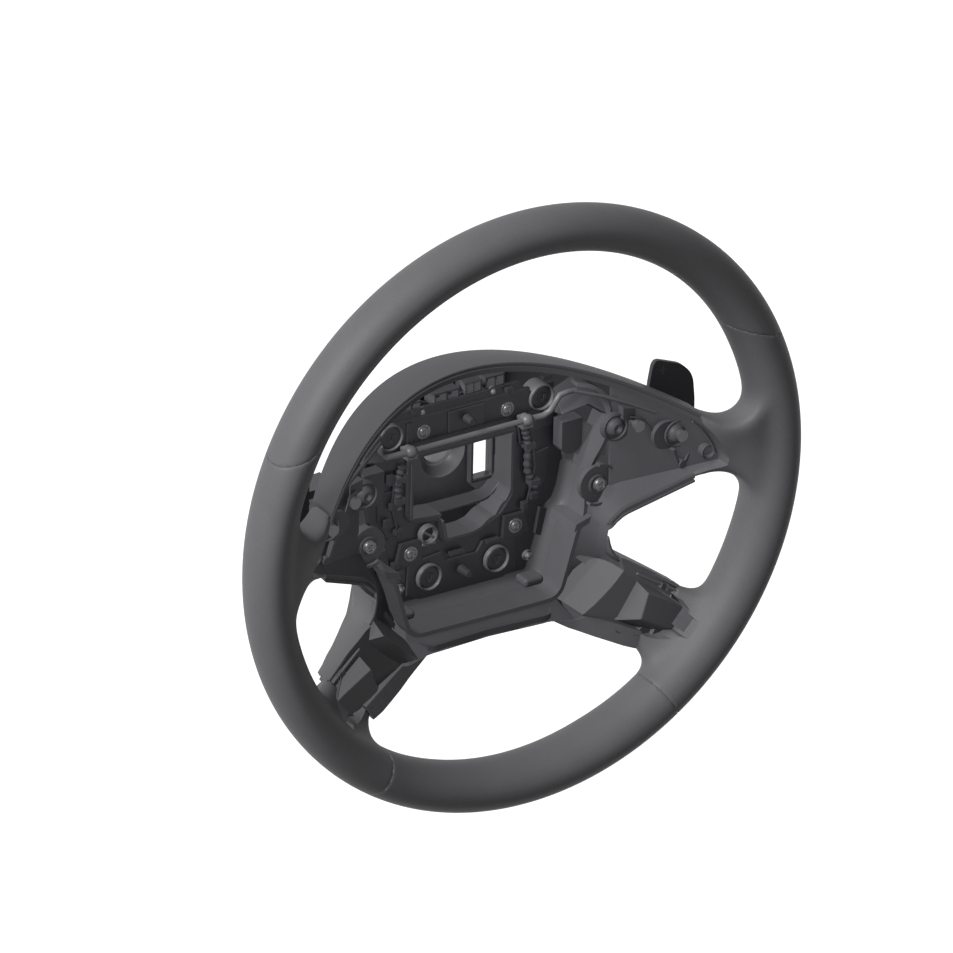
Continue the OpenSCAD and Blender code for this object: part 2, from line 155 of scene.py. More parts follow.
def block(bm, x0, z0, x1, z1, y0, y1):
    """A box between two corners and two depths."""
    prism(bm, [(x0, z0), (x1, z0), (x1, z1), (x0, z1)], y0, y1)


def ring_shape(bm, x, z, profile, steps=40):
    """Turn a closed profile of radius and depth round an axis along the depth."""
    verts, edges = loop(bm, [at(x + r, y, z) for r, y in profile])
    bmesh.ops.spin(bm, geom=verts + edges, cent=at(x, 0, z), axis=(0, 1, 0), angle=2 * math.pi, steps=steps,
                   use_merge=True)


def turned(bm, x, z, profile, steps=32):
    """Turn an open profile that starts and ends on the axis."""
    verts = [bm.verts.new(at(x + r, y, z)) for r, y in profile]
    edges = [bm.edges.new(p) for p in zip(verts, verts[1:])]
    bmesh.ops.spin(bm, geom=verts + edges, cent=at(x, 0, z), axis=(0, 1, 0), angle=2 * math.pi, steps=steps,
                   use_merge=True)
    bmesh.ops.remove_doubles(bm, verts=bm.verts, dist=2e-6)


def drum(bm, x, z, y0, y1, r, segments=40):
    """A round solid along the depth, from depth y0 to depth y1."""
    place = Matrix.Translation(at(x, (y0 + y1) / 2, z)) @ Matrix.Rotation(-math.pi / 2, 4, "X")
    bmesh.ops.create_cone(bm, cap_ends=True, segments=segments, radius1=r * MM, radius2=r * MM,
                          depth=(y1 - y0) * MM, matrix=place)


def tube(bm, path, radius, sides=14):
    """A round tube through points in millimetres, with one radius or one for each point."""
    pts = [Vector(p) for p in path]
    sizes = radius if isinstance(radius, list) else [radius] * len(pts)
    rows = []
    for i, (p, r) in enumerate(zip(pts, sizes)):
        d = (pts[min(i + 1, len(pts) - 1)] - pts[max(i - 1, 0)]).normalized()
        across = Vector((0, 1, 0)) if abs(d.y) < 0.95 else Vector((1, 0, 0))
        u = d.cross(across).normalized()
        v = u.cross(d)
        turns = (2 * math.pi * k / sides for k in range(sides))
        rows.append([at(*(p + r * (math.cos(t) * u + math.sin(t) * v))) for t in turns])
    skin(bm, rows)


def smooth_path(points, steps=6):
    """A curve through points, as a list of closer points."""
    pts = [Vector(p) for p in points]
    ext = [2 * pts[0] - pts[1]] + pts + [2 * pts[-1] - pts[-2]]
    out = []
    for i in range(1, len(ext) - 2):
        a, b, c, d = ext[i - 1:i + 3]
        for k in range(steps):
            t = k / steps
            out.append(0.5 * (2 * b + (c - a) * t + (2 * a - 5 * b + 4 * c - d) * t * t
                              + (3 * b - a - 3 * c + d) * t ** 3))
    return out + [pts[-1]]


def everything(bm):
    return bm.verts[:] + bm.edges[:] + bm.faces[:]


def fix_normals(bm):
    bmesh.ops.remove_doubles(bm, verts=bm.verts, dist=2e-6)
    bmesh.ops.recalc_face_normals(bm, faces=bm.faces)


def mirrored(bm):
    """Keep the right half's shape and add its mirror image."""
    out = bmesh.ops.duplicate(bm, geom=everything(bm))
    new = [v for v in out["geom"] if isinstance(v, bmesh.types.BMVert)]
    bmesh.ops.scale(bm, verts=new, vec=(-1, 1, 1))


def add_both(bm, half):
    """Put a half and its mirror image into a mesh."""
    mirrored(half)
    fix_normals(half)
    mesh = bpy.data.meshes.new("half")
    half.to_mesh(mesh)
    half.free()
    bm.from_mesh(mesh)
    bpy.data.meshes.remove(mesh)


def flip(bm):
    bmesh.ops.scale(bm, verts=bm.verts, vec=(-1, 1, 1))


def piece(name, bm, material, nodes=None, slot="black_plastic", body="wheel", bevel=0.0, segments=2, angle=32,
          smooth=40):
    """Make a mesh a piece on its body, in place of the node of its name unless other nodes are given."""
    fix_normals(bm)
    mesh = bpy.data.meshes.new(name)
    bm.to_mesh(mesh)
    bm.free()
    obj = bpy.data.objects.new(name, mesh)
    bpy.context.scene.collection.objects.link(obj)
    mesh.shade_smooth()
    mesh.materials.append(bpy.data.materials["wheel_" + material])
    if bevel:
        mod = obj.modifiers.new("Edges", "BEVEL")
        mod.width = bevel * MM * bpy.context.scene.wheel_sizes.edge
        mod.segments = segments
        mod.limit_method = "ANGLE"
        mod.angle_limit = math.radians(angle)
        mod.harden_normals = True
        mod.use_clamp_overlap = True
    else:
        mesh.set_sharp_from_angle(angle=math.radians(smooth))
    nodes = [name] if nodes is None else nodes
    if nodes:
        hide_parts(*nodes)
    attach(obj, body)


def both(*specs):
    """Make right and left pieces, each from its name, drawing, material and the further values of piece."""
    for side in ("right", "left"):
        for name, draw, material, finish in specs:
            bm = bmesh.new()
            draw(bm)
            if side == "left":
                flip(bm)
            piece(name + "_" + side, bm, material, **finish)


def apply_modifiers(obj):
    """Put the shape that the modifiers make in place of the mesh."""
    graph = bpy.context.evaluated_depsgraph_get()
    mesh = bpy.data.meshes.new_from_object(obj.evaluated_get(graph))
    old = obj.data
    obj.modifiers.clear()
    obj.data = mesh
    bpy.data.meshes.remove(old)


def scratch(bm, name):
    """An object without a material from a mesh in the making."""
    mesh = bpy.data.meshes.new(name)
    bm.to_mesh(mesh)
    bm.free()
    obj = bpy.data.objects.new(name, mesh)
    bpy.context.scene.collection.objects.link(obj)
    return obj


def carve(obj, bm, solver="EXACT"):
    """Take a shape out of an object."""
    fix_normals(bm)
    cutter = scratch(bm, "cutter")
    mod = obj.modifiers.new("Cut", "BOOLEAN")
    mod.operation = "DIFFERENCE"
    mod.object = cutter
    mod.solver = solver
    apply_modifiers(obj)
    bpy.data.objects.remove(cutter)


def taken(obj):
    """The mesh of a scratch object, which is removed."""
    bm = bmesh.new()
    bm.from_mesh(obj.data)
    bpy.data.objects.remove(obj)
    return bm


# Shader groups and materials
def feed(tree, made, inputs):
    """Give a node's inputs their values, or the sockets that feed them."""
    for key, value in inputs.items():
        if isinstance(value, bpy.types.NodeSocket):
            tree.links.new(value, made.inputs[key])
        else:
            made.inputs[key].default_value = value


def node(tree, kind, inputs, **settings):
    """Make a shader node with its settings and inputs, and give back its outputs."""
    made = tree.nodes.new("ShaderNode" + kind)
    for name, value in settings.items():
        setattr(made, name, value)
    feed(tree, made, inputs)
    return made.outputs


def new_group(name, inputs, outputs):
    tree = bpy.data.node_groups.new(name, "ShaderNodeTree")
    for n, kind, default in inputs:
        sock = tree.interface.new_socket(name=n, in_out="INPUT", socket_type=kind)
        if default is not None:
            sock.default_value = default
    for n, kind in outputs:
        tree.interface.new_socket(name=n, in_out="OUTPUT", socket_type=kind)
    return tree, tree.nodes.new("NodeGroupInput").outputs, tree.nodes.new("NodeGroupOutput")


def grain_group():
    """Fine pebbled grain: a normal and a mask from cells and noise, and a slow drift."""
    tree, given, result = new_group("fine_grain",
                                    [("Scale", "NodeSocketFloat", 900.0), ("Depth", "NodeSocketFloat", 0.2),
                                     ("Soft", "NodeSocketFloat", 60.0)],
                                    [("Normal", "NodeSocketVector"), ("Mask", "NodeSocketFloat"),
                                     ("Drift", "NodeSocketFloat")])
    coord = node(tree, "TexCoord", {})["Object"]
    cells = node(tree, "TexVoronoi", {"Vector": coord, "Scale": given["Scale"]}, feature="F1")["Distance"]
    noise = node(tree, "TexNoise", {"Vector": coord, "Scale": given["Scale"], "Detail": 3.0})["Fac"]
    drift = node(tree, "TexNoise", {"Vector": coord, "Scale": given["Soft"], "Detail": 2.0})["Fac"]
    height = node(tree, "Math", {0: cells, 1: noise}, operation="ADD")[0]
    bump = node(tree, "Bump", {"Height": height, "Strength": given["Depth"], "Distance": GRAIN_HEIGHT})
    feed(tree, result, {"Normal": bump["Normal"], "Mask": cells, "Drift": drift})


def tone_group():
    """Mix a dark and a light tone by slow drift and the grain's hollows, and vary the roughness."""
    tree, given, result = new_group("tone_drift",
                                    [("Dark", "NodeSocketColor", None), ("Light", "NodeSocketColor", None),
                                     ("Drift", "NodeSocketFloat", 0.5), ("Mask", "NodeSocketFloat", 0.5),
                                     ("Rough", "NodeSocketFloat", 0.5), ("Spread", "NodeSocketFloat", 0.06)],
                                    [("Color", "NodeSocketColor"), ("Roughness", "NodeSocketFloat")])
    share = node(tree, "Math", {0: given["Drift"], 1: given["Mask"]}, operation="MULTIPLY")[0]
    mix = node(tree, "Mix", {"Factor": share, "A": given["Dark"], "B": given["Light"]}, data_type="RGBA")
    rough = node(tree, "Math", {0: given["Drift"], 1: given["Spread"], 2: given["Rough"]},
                 operation="MULTIPLY_ADD")[0]
    feed(tree, result, {"Color": mix["Result"], "Roughness": rough})


GRAIN_HEIGHT = 0.0002
FINISHES = {
    # name: (dark, light, roughness, grain scale, grain depth, metallic, specular)
    "leather": ((0.090, 0.090, 0.095), (0.118, 0.118, 0.124), 0.52, 1500.0, 0.25, 0.0, 0.16),
    "shell_plastic": ((0.057, 0.057, 0.061), (0.071, 0.071, 0.078), 0.50, 1800.0, 0.12, 0.0, 0.14),
    # a lighter copy of the shell's black plastic, painted light for the lower spokes' lit facets
    "spoke_plastic": ((0.090, 0.090, 0.095), (0.109, 0.109, 0.116), 0.52, 1800.0, 0.10, 0.0, 0.12),
    "tray_plastic": ((0.071, 0.071, 0.078), (0.088, 0.088, 0.095), 0.48, 1800.0, 0.10, 0.0, 0.16),
    "carrier_plastic": ((0.080, 0.080, 0.086), (0.101, 0.101, 0.109), 0.46, 1600.0, 0.10, 0.0, 0.2),
    "plate_plastic": ((0.036, 0.036, 0.040), (0.048, 0.048, 0.055), 0.42, 1600.0, 0.10, 0.0, 0.22),
    "cast_metal": ((0.063, 0.063, 0.069), (0.092, 0.092, 0.099), 0.42, 1200.0, 0.2, 0.1, 0.25),
    "dark_steel": ((0.105, 0.105, 0.113), (0.168, 0.168, 0.179), 0.34, 1400.0, 0.08, 0.4, 0.4),
    "wire_grey": ((0.116, 0.116, 0.122), (0.147, 0.147, 0.155), 0.38, 1500.0, 0.06, 0.0, 0.35),
    "paddle_soft": ((0.038, 0.038, 0.042), (0.050, 0.050, 0.057), 0.50, 1900.0, 0.15, 0.0, 0.15),
    "foam_grey": ((0.063, 0.063, 0.067), (0.095, 0.095, 0.101), 0.8, 700.0, 0.4, 0.0, 0.2),
    "conduit_black": ((0.046, 0.046, 0.053), (0.067, 0.067, 0.076), 0.42, 1500.0, 0.1, 0.0, 0.25),
}


def make_material(name, spec):
    dark, light, rough, scale, depth, metal, gloss = spec
    mat = bpy.data.materials.new("wheel_" + name)
    mat.use_nodes = True
    tree, groups = mat.node_tree, bpy.data.node_groups
    grain = node(tree, "Group", {"Scale": scale, "Depth": depth}, node_tree=groups["fine_grain"])
    tone = node(tree, "Group", {"Dark": (*dark, 1), "Light": (*light, 1), "Rough": rough,
                                "Drift": grain["Drift"], "Mask": grain["Mask"]},
                node_tree=groups["tone_drift"])
    feed(tree, tree.nodes["Principled BSDF"], {"Base Color": tone["Color"], "Roughness": tone["Roughness"],
                                               "Normal": grain["Normal"], "Metallic": metal,
                                               "Specular IOR Level": gloss})


class WheelSizes(bpy.types.PropertyGroup):
    voxel: FloatProperty(name="Leather voxel", description="Size of the voxels that blend the leather",
                         default=0.0016, min=0.001, max=0.004, unit="LENGTH")
    edge: FloatProperty(name="Edge size", description="Size of the radii on moulded edges, as a factor",
                        default=1.0, min=0.0, max=2.0, subtype="FACTOR")
    tone: FloatVectorProperty(name="Leather tone", description="Lighter colour of the leather",
                              default=FINISHES["leather"][1], size=3, subtype="COLOR", min=0, max=1)
    key: FloatProperty(name="Key lamp", description="Strength of the lamp that casts no shadow", default=3.7,
                       min=0.0, max=10.0, subtype="FACTOR")


class WHEEL_OT_materials(bpy.types.Operator):
    """Make the shared shader groups and the finishes"""
    bl_idname = "wheel.materials"
    bl_label = "Finishes"

    def execute(self, context):
        grain_group()
        tone_group()
        tone = tuple(context.scene.wheel_sizes.tone)
        for name, spec in FINISHES.items():
            make_material(name, (spec[0], tone) + spec[2:] if name == "leather" else spec)
        return {"FINISHED"}


# Leather rim
def rim_solid(bm, less=0.0):
    out = bmesh.ops.create_circle(bm, segments=48, radius=1.0)
    s, c = math.sin(LEAN), math.cos(LEAN)
    a, b = LONG - less, SHORT - less
    shape = Matrix(((-s * a, c * b, 0, RIM_R), (c * a, s * b, 0, -DISH), (0, 0, 1, 0), (0, 0, 0, 1)))
    verts = out["verts"]
    edges = list({e for v in verts for e in v.link_edges})
    bmesh.ops.transform(bm, matrix=Matrix.Scale(MM, 4) @ shape, verts=verts)
    bmesh.ops.spin(bm, geom=verts + edges, cent=at(0, 0, 0), axis=(0, 1, 0), angle=2 * math.pi, steps=180,
                   use_merge=True)


def root_section(x, top_y, top_z, rear_y, rear_z, mid, low_back, low_z, low_y, grow=0.0):
    """Section of the upper spoke's leather end, from the front top edge round the back."""
    return [at(x, top_y, top_z + grow), at(x, (top_y + rear_y) / 2, (top_z + rear_z) / 2 + grow),
            at(x, rear_y, rear_z + grow), at(x, mid, (rear_z + grow) * 0.55),
            at(x, mid, (low_z - grow) * 0.6), at(x, low_back, low_z - grow),
            at(x, (low_y + low_back) / 2, low_z - grow), at(x, low_y, low_z - grow)]


def upper_root(bm):
    """The leather's end on an upper spoke, from the shell's section into the rim."""
    rows = []
    for x in (122, 127):
        rows.append(root_section(x, *lip(x), *rear(x), mid_y(x), back_y(x), edge_z(x), edge_y(x)))
    rows += [root_section(134, -4, 19.1, 16.5, 20.5, 25, 22, -17, 5.5),
             root_section(141, -8.5, 17, 12, 18.5, 22, 18, -15.5, 1.5, 0.6),
             root_section(148, -12, 17, 9, 18, 18.5, 15, -16, -4, 3),
             root_section(154, -13.5, 18, 8, 19, 16, 13, -18, -8, 9),
             root_section(160, -13, 18, 8, 19, 14, 11, -18, -10, 20),
             root_section(166, -12, 18, 8, 19, 12, 10, -18, -10, 26)]
    skin(bm, rows)


def low_at(r, w, y):
    """A point along and across the lower spoke's axis, at a depth."""
    s, c = math.sin(LOW_ANGLE), math.cos(LOW_ANGLE)
    return at(r * c + w * s, y, -r * s + w * c)


def lower_root(bm):
    """The leather's end on a lower spoke."""
    rows = []
    for r, y0, y1, up, down in ((138, 15.5, 26, 15, 28.5), (143, 13.5, 24, 14.6, 28.8),
                                (148, 9.5, 21, 15.2, 29.5), (153, 4, 18, 17, 32), (158, -2, 15, 21, 37),
                                (163, -6, 13, 26, 43), (168, -8, 12, 31, 48)):
        mid = (up - down) / 2
        rows.append([low_at(r, up, y0), low_at(r, up, (y0 + y1) / 2), low_at(r, up, y1),
                     low_at(r, mid, y1 + 1), low_at(r, -down, y1), low_at(r, -down, (y0 + y1) / 2),
                     low_at(r, -down, y0), low_at(r, mid, y0)])
    skin(bm, rows)


def leather_solid(size):
    """The whole cover as one blended solid, before it is cut at the seams."""
    bm = bmesh.new()
    rim_solid(bm)
    half = bmesh.new()
    upper_root(half)
    lower_root(half)
    add_both(bm, half)
    fix_normals(bm)
    obj = scratch(bm, "leather_solid")
    mod = obj.modifiers.new("Blend", "REMESH")
    mod.mode = "VOXEL"
    mod.voxel_size = size
    mod.adaptivity = 0.0
    soft = obj.modifiers.new("Soften", "SMOOTH")
    soft.factor = 0.5
    soft.iterations = 10
    apply_modifiers(obj)
    group = obj.vertex_groups.new(name="Roots")
    for v in obj.data.vertices:
        x, z = abs(v.co.x) / MM, v.co.z / MM
        turn = math.degrees(math.atan2(z, x))
        near = max(0.0, min(1.0, (30 - abs(turn + 42)) / 10), min(1.0, (26 - abs(turn + 2)) / 9))
        weight = near * max(0.0, min(1.0, (178 - math.hypot(x, z)) / 9))
        if weight > 0:
            group.add([v.index], weight, "REPLACE")
    soft = obj.modifiers.new("Roots", "SMOOTH")
    soft.factor = 0.5
    soft.iterations = 70
    soft.vertex_group = "Roots"
    apply_modifiers(obj)
    return obj


def pocket_cutter(bm):
    """Space of the upper spoke's pocket where it runs into the leather."""
    rows = []
    for x, top, low, floor in ((118, None, None, 19), (126, None, None, 16), (132, 11, -13, 14),
                               (137, 2, -11.5, 12.5), (140.5, -5, -9.5, 11)):
        top = lip(x)[1] - LIP_DROP if top is None else top
        low = edge_z(x) + 4 if low is None else low
        rows.append([at(x, -40, top), at(x, floor, top), at(x, floor, low), at(x, -40, low)])
    skin(bm, rows)


BEAM_AT, BEAM_ANGLE = Vector((86.3, -89.6)), math.radians(31)
RECESS = [(8, -13.7), (19.4, -13.7), (24, -12.1), (28.5, -8.8), (31, -5.2), (33.5, -4.2), (35.6, 6.9),
          (33, 8.0), (32.4, 10.2), (28.3, 13.4), (20, 14), (8, 14)]


def beam_xz(along, across):
    """X and Z of a point along and across the lower spoke's beam."""
    d = Vector((math.cos(BEAM_ANGLE), -math.sin(BEAM_ANGLE)))
    u = Vector((math.sin(BEAM_ANGLE), math.cos(BEAM_ANGLE)))
    return tuple(BEAM_AT + d * along + u * across)


def beam_cutter(bm):
    """Space round the lower spoke's beam and the notch beyond it."""
    prism(bm, [beam_xz(*q) for q in RECESS], -40, 17)


def seam_cut(bm, angle, keep_above):
    """Cut at a radial seam and drop one side."""
    a = math.radians(angle)
    normal = Vector((-math.sin(a), 0, math.cos(a)))
    if not keep_above:
        normal = -normal
    bmesh.ops.bisect_plane(bm, geom=everything(bm), plane_co=at(0, 0, 0), plane_no=-normal, clear_outer=True)


def trim(bm, place, way, doomed):
    """Cut at a plane and drop the points that a test picks, which all lie on one side of it."""
    bmesh.ops.bisect_plane(bm, geom=everything(bm), plane_co=place, plane_no=way)
    bmesh.ops.delete(bm, geom=[v for v in bm.verts if doomed(v.co)], context="VERTS")


def upper_seam(bm, side, keep_top):
    """Cut one side's upper seam, which lies across the rim at a slant."""
    normal = Vector((side * 0.287, 0, 0.958))
    if not keep_top:
        normal = -normal
    picked = {v for v in bm.verts if side * v.co.x > 90 * MM and v.co.z > 20 * MM}
    geom = list(picked) + [e for e in bm.edges if picked.issuperset(e.verts)]
    geom += [f for f in bm.faces if picked.issuperset(f.verts)]
    bmesh.ops.bisect_plane(bm, geom=geom, plane_co=at(side * 152, 0, 76.5), plane_no=-normal,
                           clear_outer=True)


def sector(bm, start, end):
    """Keep the part between two angles in degrees from +X, which are under half a turn apart."""
    seam_cut(bm, start, True)
    seam_cut(bm, end, False)


def tuck(bm, depth=1.1, reach=0.45):
    """Close the open cuts with an edge that turns in, as leather does at a seam."""
    rim_edges = [e for e in bm.edges if e.is_boundary]
    verts = {v for e in rim_edges for v in e.verts}
    normals = {v: v.normal.copy() for v in verts}
    out = bmesh.ops.extrude_edge_only(bm, edges=rim_edges)
    new = [v for v in out["geom"] if isinstance(v, bmesh.types.BMVert)]
    for v in new:
        near = [e.other_vert(v) for e in v.link_edges if e.other_vert(v) in verts]
        if near:
            v.co -= normals[near[0]] * depth * MM
    for v in verts:
        v.co -= normals[v] * reach * MM
    edges = [e for e in bm.edges if e.is_boundary]
    bmesh.ops.holes_fill(bm, edges=edges, sides=0)


# where the leather's spoke ends stop on the upper and lower spokes, and the height between these
UPPER_END, LOWER_END, SPLIT_Z, TRIM_SLACK = 125.5, 143.8, -60, 0.1


class WHEEL_OT_leather(bpy.types.Operator):
    """Blend the rim with the spoke ends and cut the cover at its seams"""
    bl_idname = "wheel.leather"
    bl_label = "Leather cover"

    def execute(self, context):
        solid = leather_solid(context.scene.wheel_sizes.voxel)
        cut = bmesh.new()
        pocket_cutter(cut)
        beam_cutter(cut)
        mirrored(cut)
        carve(solid, cut)
        parts = {
            "leather_top": (10, 170),
            "leather_bottom": (180 + SEAM_LOW, 360 - SEAM_LOW),
            "leather_right": (-SEAM_LOW, 45),
            "leather_left": (135, 180 + SEAM_LOW),
        }
        for name, (start, end) in parts.items():
            bm = bmesh.new()
            bm.from_mesh(solid.data)
            sector(bm, start, end)
            side = 1 if name == "leather_right" else -1
            if name == "leather_top":
                upper_seam(bm, 1, True)
                upper_seam(bm, -1, True)
            if name in ("leather_right", "leather_left"):
                upper_seam(bm, side, False)
                trim(bm, at(side * UPPER_END, 0, 0), (-side, 0, 0),
                     lambda p: side * p.x < (UPPER_END - TRIM_SLACK) * MM and p.z > SPLIT_Z * MM)
                d = Vector((side * 0.695, 0, -0.719))
                trim(bm, at(0, 0, 0) + d * LOWER_END * MM, -d,
                     lambda p: p.dot(d) < (LOWER_END - TRIM_SLACK) * MM and p.z < SPLIT_Z * MM)
            tuck(bm)
            piece(name, bm, "leather", slot="leather", smooth=50)
        # the foam core under the cover, open at the lower spokes' recesses
        bm = bmesh.new()
        rim_solid(bm, 1.5)
        fix_normals(bm)
        core = scratch(bm, "foam_core")
        cut = bmesh.new()
        prism(cut, [beam_xz(*q) for q in ((0, -20), (53, -20), (53, 20), (0, 20))], -40, 25)
        mirrored(cut)
        carve(core, cut)
        piece("rim_foam", taken(core), "foam_grey", slot="foam", smooth=50)
        bpy.data.objects.remove(solid)
        return {"FINISHED"}


# Hub shell with its top band and lip
def shell_section(x):
    """The shell's closed section at one X: lip, top, rear, lower edge with its groove, then the inside."""
    ly, lz = lip(x)
    ry, rz = rear(x)
    ez, ey, by, my = edge_z(x), front_y(x), back_y(x), mid_y(x)
    w = SHELL_WALL
    g = 1.2 * max(0.0, min(1.0, (abs(x) - 78) / 6))  # groove of the lower edge
    return [at(x, *p) for p in [(ly, lz - LIP_DROP), (ly, lz - 2.9), (ly + 1.2, lz - 2.7),
                                (ly + 1.2, lz - 1.5), (ly, lz - 1.3), (ly, lz - 0.4), (ly + 0.4, lz),
                                (ly * 0.65 + ry * 0.35, (lz * 0.65 + rz * 0.35) + 0.9),
                                (ly * 0.3 + ry * 0.7, (lz * 0.3 + rz * 0.7) + 0.8), (ry, rz), (my, 14),
                                (my, -14), (by, ez + 3), (ey, ez), (ey, ez + 1.2), (ey + g, ez + 1.4),
                                (ey + g, ez + 2.4), (ey, ez + 2.6), (ey, ez + 4.5), (ey + w, ez + 4.5),
                                (ey + w, ez + w), (by - w, ez + 3 + w), (my - w, -14), (my - w, 14),
                                (ry - w, rz - w), (ly + w, lz - w), (ly + w, lz - LIP_DROP)]]


class WHEEL_OT_hub_shell(bpy.types.Operator):
    """Loft the hub shell across the wheel"""
    bl_idname = "wheel.hub_shell"
    bl_label = "Hub shell"

    def execute(self, context):
        bm = bmesh.new()
        skin(bm, [shell_section(SHELL_END * (i / 42 - 1)) for i in range(85)])
        fix_normals(bm)
        body = scratch(bm, "shell_body")
        cut = bmesh.new()
        drum(cut, 0, 0, 60, 110, 22, segments=64)
        block(cut, 22.6, -36, 46, 3, 60, 110)
        carve(body, cut, "FAST")
        piece("hub_shell", taken(body), "shell_plastic", ["hub_shell", "rear_cover", "upper_spoke_right",
                                                          "upper_spoke_left"], smooth=28)
        return {"FINISHED"}


# Spoke trays: pocket floor, ramp and the skirt round the tub
# the skirt's inner edge and flange edge, each as x, depth, z
SKIRT = [((0, 37, -85.6), (0, 29.4, -94.0)), ((16, 37, -85.6), (16, 28.9, -93.9)),
         ((32, 37, -85.6), (31, 27.4, -93.8)), ((44, 38.5, -85.6), (43, 27.0, -94.4)),
         ((49, 41, -84), (56.6, 25.4, -97.2)), ((54, 45, -77), (57.6, 46.5, -91)),
         ((57, 46, -70), (69, 45, -81)), ((60, 46, -60), (77, 38, -71)), ((63, 46, -52), (79, 29, -61)),
         ((66, 46, -45), (77.5, 27.5, -53)), ((70, 45, -38), (78.5, 27, -46)),
         ((76, 42, -31), (82, 26.5, -40.5)), ((83, 38, -25), (86.5, 26, -36.5)),
         ((91, 33.4, -21), (93, 23.8, -32.8)), ((103, 27.4, -18), (104, 19.6, -27.6)),
         ((116, 20.9, -14.9), (117, 14.7, -21.5)), ((128, 14.9, -12), (128.5, 10.3, -16.2)),
         ((136, 10.9, -10), (136.5, 7.3, -12.6)), ((139.5, 9.2, -9.2), (140, 6, -10.8))]
TRAY_TOP = [(85, None), (92, None), (100, None), (108, None), (116, None), (124, None),
            (129, 14.2), (133, 8.6), (137, 0.4), (139.6, -6.5)]


def tray_floor(x):
    return 33 - 0.5 * (x - 91) if x > 91 else 33 + 0.62 * (91 - x)


def floor_low(x):
    return ramp_z(x) if x > 89 else -21.5 - 0.9 * (89 - x)


def tab(bm, x, z, reach, dx, dz, y0, y1, r):
    """A round-ended tab from a centre towards a direction."""
    d = Vector((dx, dz)).normalized()
    a0 = math.atan2(d.y, d.x)
    ring = [(x + r * math.cos(a0 + math.pi / 2 + math.pi * k / 12),
             z + r * math.sin(a0 + math.pi / 2 + math.pi * k / 12)) for k in range(13)]
    end = [(x + d.x * reach + r * math.cos(a0 - math.pi / 2 + math.pi * k / 12),
            z + d.y * reach + r * math.sin(a0 - math.pi / 2 + math.pi * k / 12)) for k in range(13)]
    prism(bm, ring + end, y0, y1)


def tray_shape(bm):
    rows = []
    for x, top in TRAY_TOP:
        top = lip(x)[1] - 5.6 if top is None else top
        y = tray_floor(x)
        rows.append([at(x, y - 0.2, top), at(x, y, floor_low(x) - 0.6), at(x, y + 2, floor_low(x) - 0.6),
                     at(x, y + 2, top)])
    skin(bm, rows)
    rows = []
    for a, c in SKIRT:
        m = [(p + q) / 2 for p, q in zip(a, c)]
        rows.append([at(a[0], a[1], a[2] + 0.3), at(*m), at(*c), at(c[0], c[1] + 2.2, c[2] - 0.4),
                     at(m[0], m[1] + 2.2, m[2]), at(a[0], a[1] + 2.2, a[2] + 0.3)])
    skin(bm, rows)


def boss(bm, x, z, y, reach=0.0, dx=1.0, dz=0.0):
    """A screw boss: a round-ended tab with a raised rim, and a domed head with a socket."""
    tab(bm, x, z, reach, dx, dz, y - 2.4, y + 0.6, 8.6)
    ring_shape(bm, x, z, [(8.4, y - 2.3), (8.4, y - 3.5), (7.4, y - 3.8), (7.0, y - 2.3)])
    turned(bm, x, z, [(0, y - 3.6), (1.7, y - 3.8), (2.1, y - 6.2), (3.2, y - 6.3), (4.9, y - 5.0),
                      (5.7, y - 3.2), (5.8, y - 1.5), (0, y - 1.5)])


def tray_details(bm):
    boss(bm, 84.6, 15.2, 34.2, 2.5, 0.9, -0.4)
    boss(bm, 118.2, 8.0, 21.8, 7, -1, 0.05)
    # V rib below the outer boss, and the half-round recess beside it
    for a, b in (((129.6, 1.8), (122.0, -10.8)), ((114.6, 0.0), (118.4, -10.6))):
        d = (Vector(b) - Vector(a)).normalized()
        n = Vector((-d.y, d.x)) * 1.0
        quad = [Vector(a) + n, Vector(a) - n, Vector(b) - n, Vector(b) + n]
        prism(bm, [tuple(q) for q in quad], tray_floor(118) - 3.6, tray_floor(118) + 0.5)
    drum(bm, 120.4, -10.6, tray_floor(120) - 3.4, tray_floor(120) + 0.5, 2.6, segments=24)
    ring_shape(bm, 133.2, -3.2, [(4.6, 8.2), (4.6, 13.5), (3.4, 13.5), (3.4, 8.6)])
    # rail inside the pocket's outer edge
    tube(bm, smooth_path([(124.5, 13, 16.5), (130, 10.5, 10.0), (134.6, 8.6, 2.6), (137.4, 7.6, -4.8)], 4),
         1.0, 8)
    # ledge under the band with its small blocks
    ledge = [(66, 45.5, 37), (80, 37.5, 33.5), (96, 30.5, 27), (108, 24.5, 21.5)]
    tube(bm, ledge, 1.3, 8)
    prism(bm, [(88, 19.8), (96.5, 17.6), (96.5, 25.4), (88, 27.4)], 29.0, 34.0)
    # the corner wedge behind the strap and the round-bottomed block under it
    skin(bm, [[at(60, 57, 20), at(60, 49, 22), at(60, 60, 34)],
              [at(75, 50, 25), at(75, 44.5, 27), at(75, 60, 40)],
              [at(86, 46, 17), at(86, 40, 19), at(86, 52, 32)]])
    prism(bm, [(60, 17), (60, 0), (62.5, -3.4), (67, -4.6), (71.5, -3.4), (74, 0), (74, 17)], 49, 58)


def tray_wire(bm):
    path = smooth_path([(92.5, 28.2, 21), (99, 25.5, 19), (103.5, 23, 12.5), (108, 21, 7.8),
                        (113, 18.5, 8.6)], 6)
    tube(bm, path, 0.75, 8)


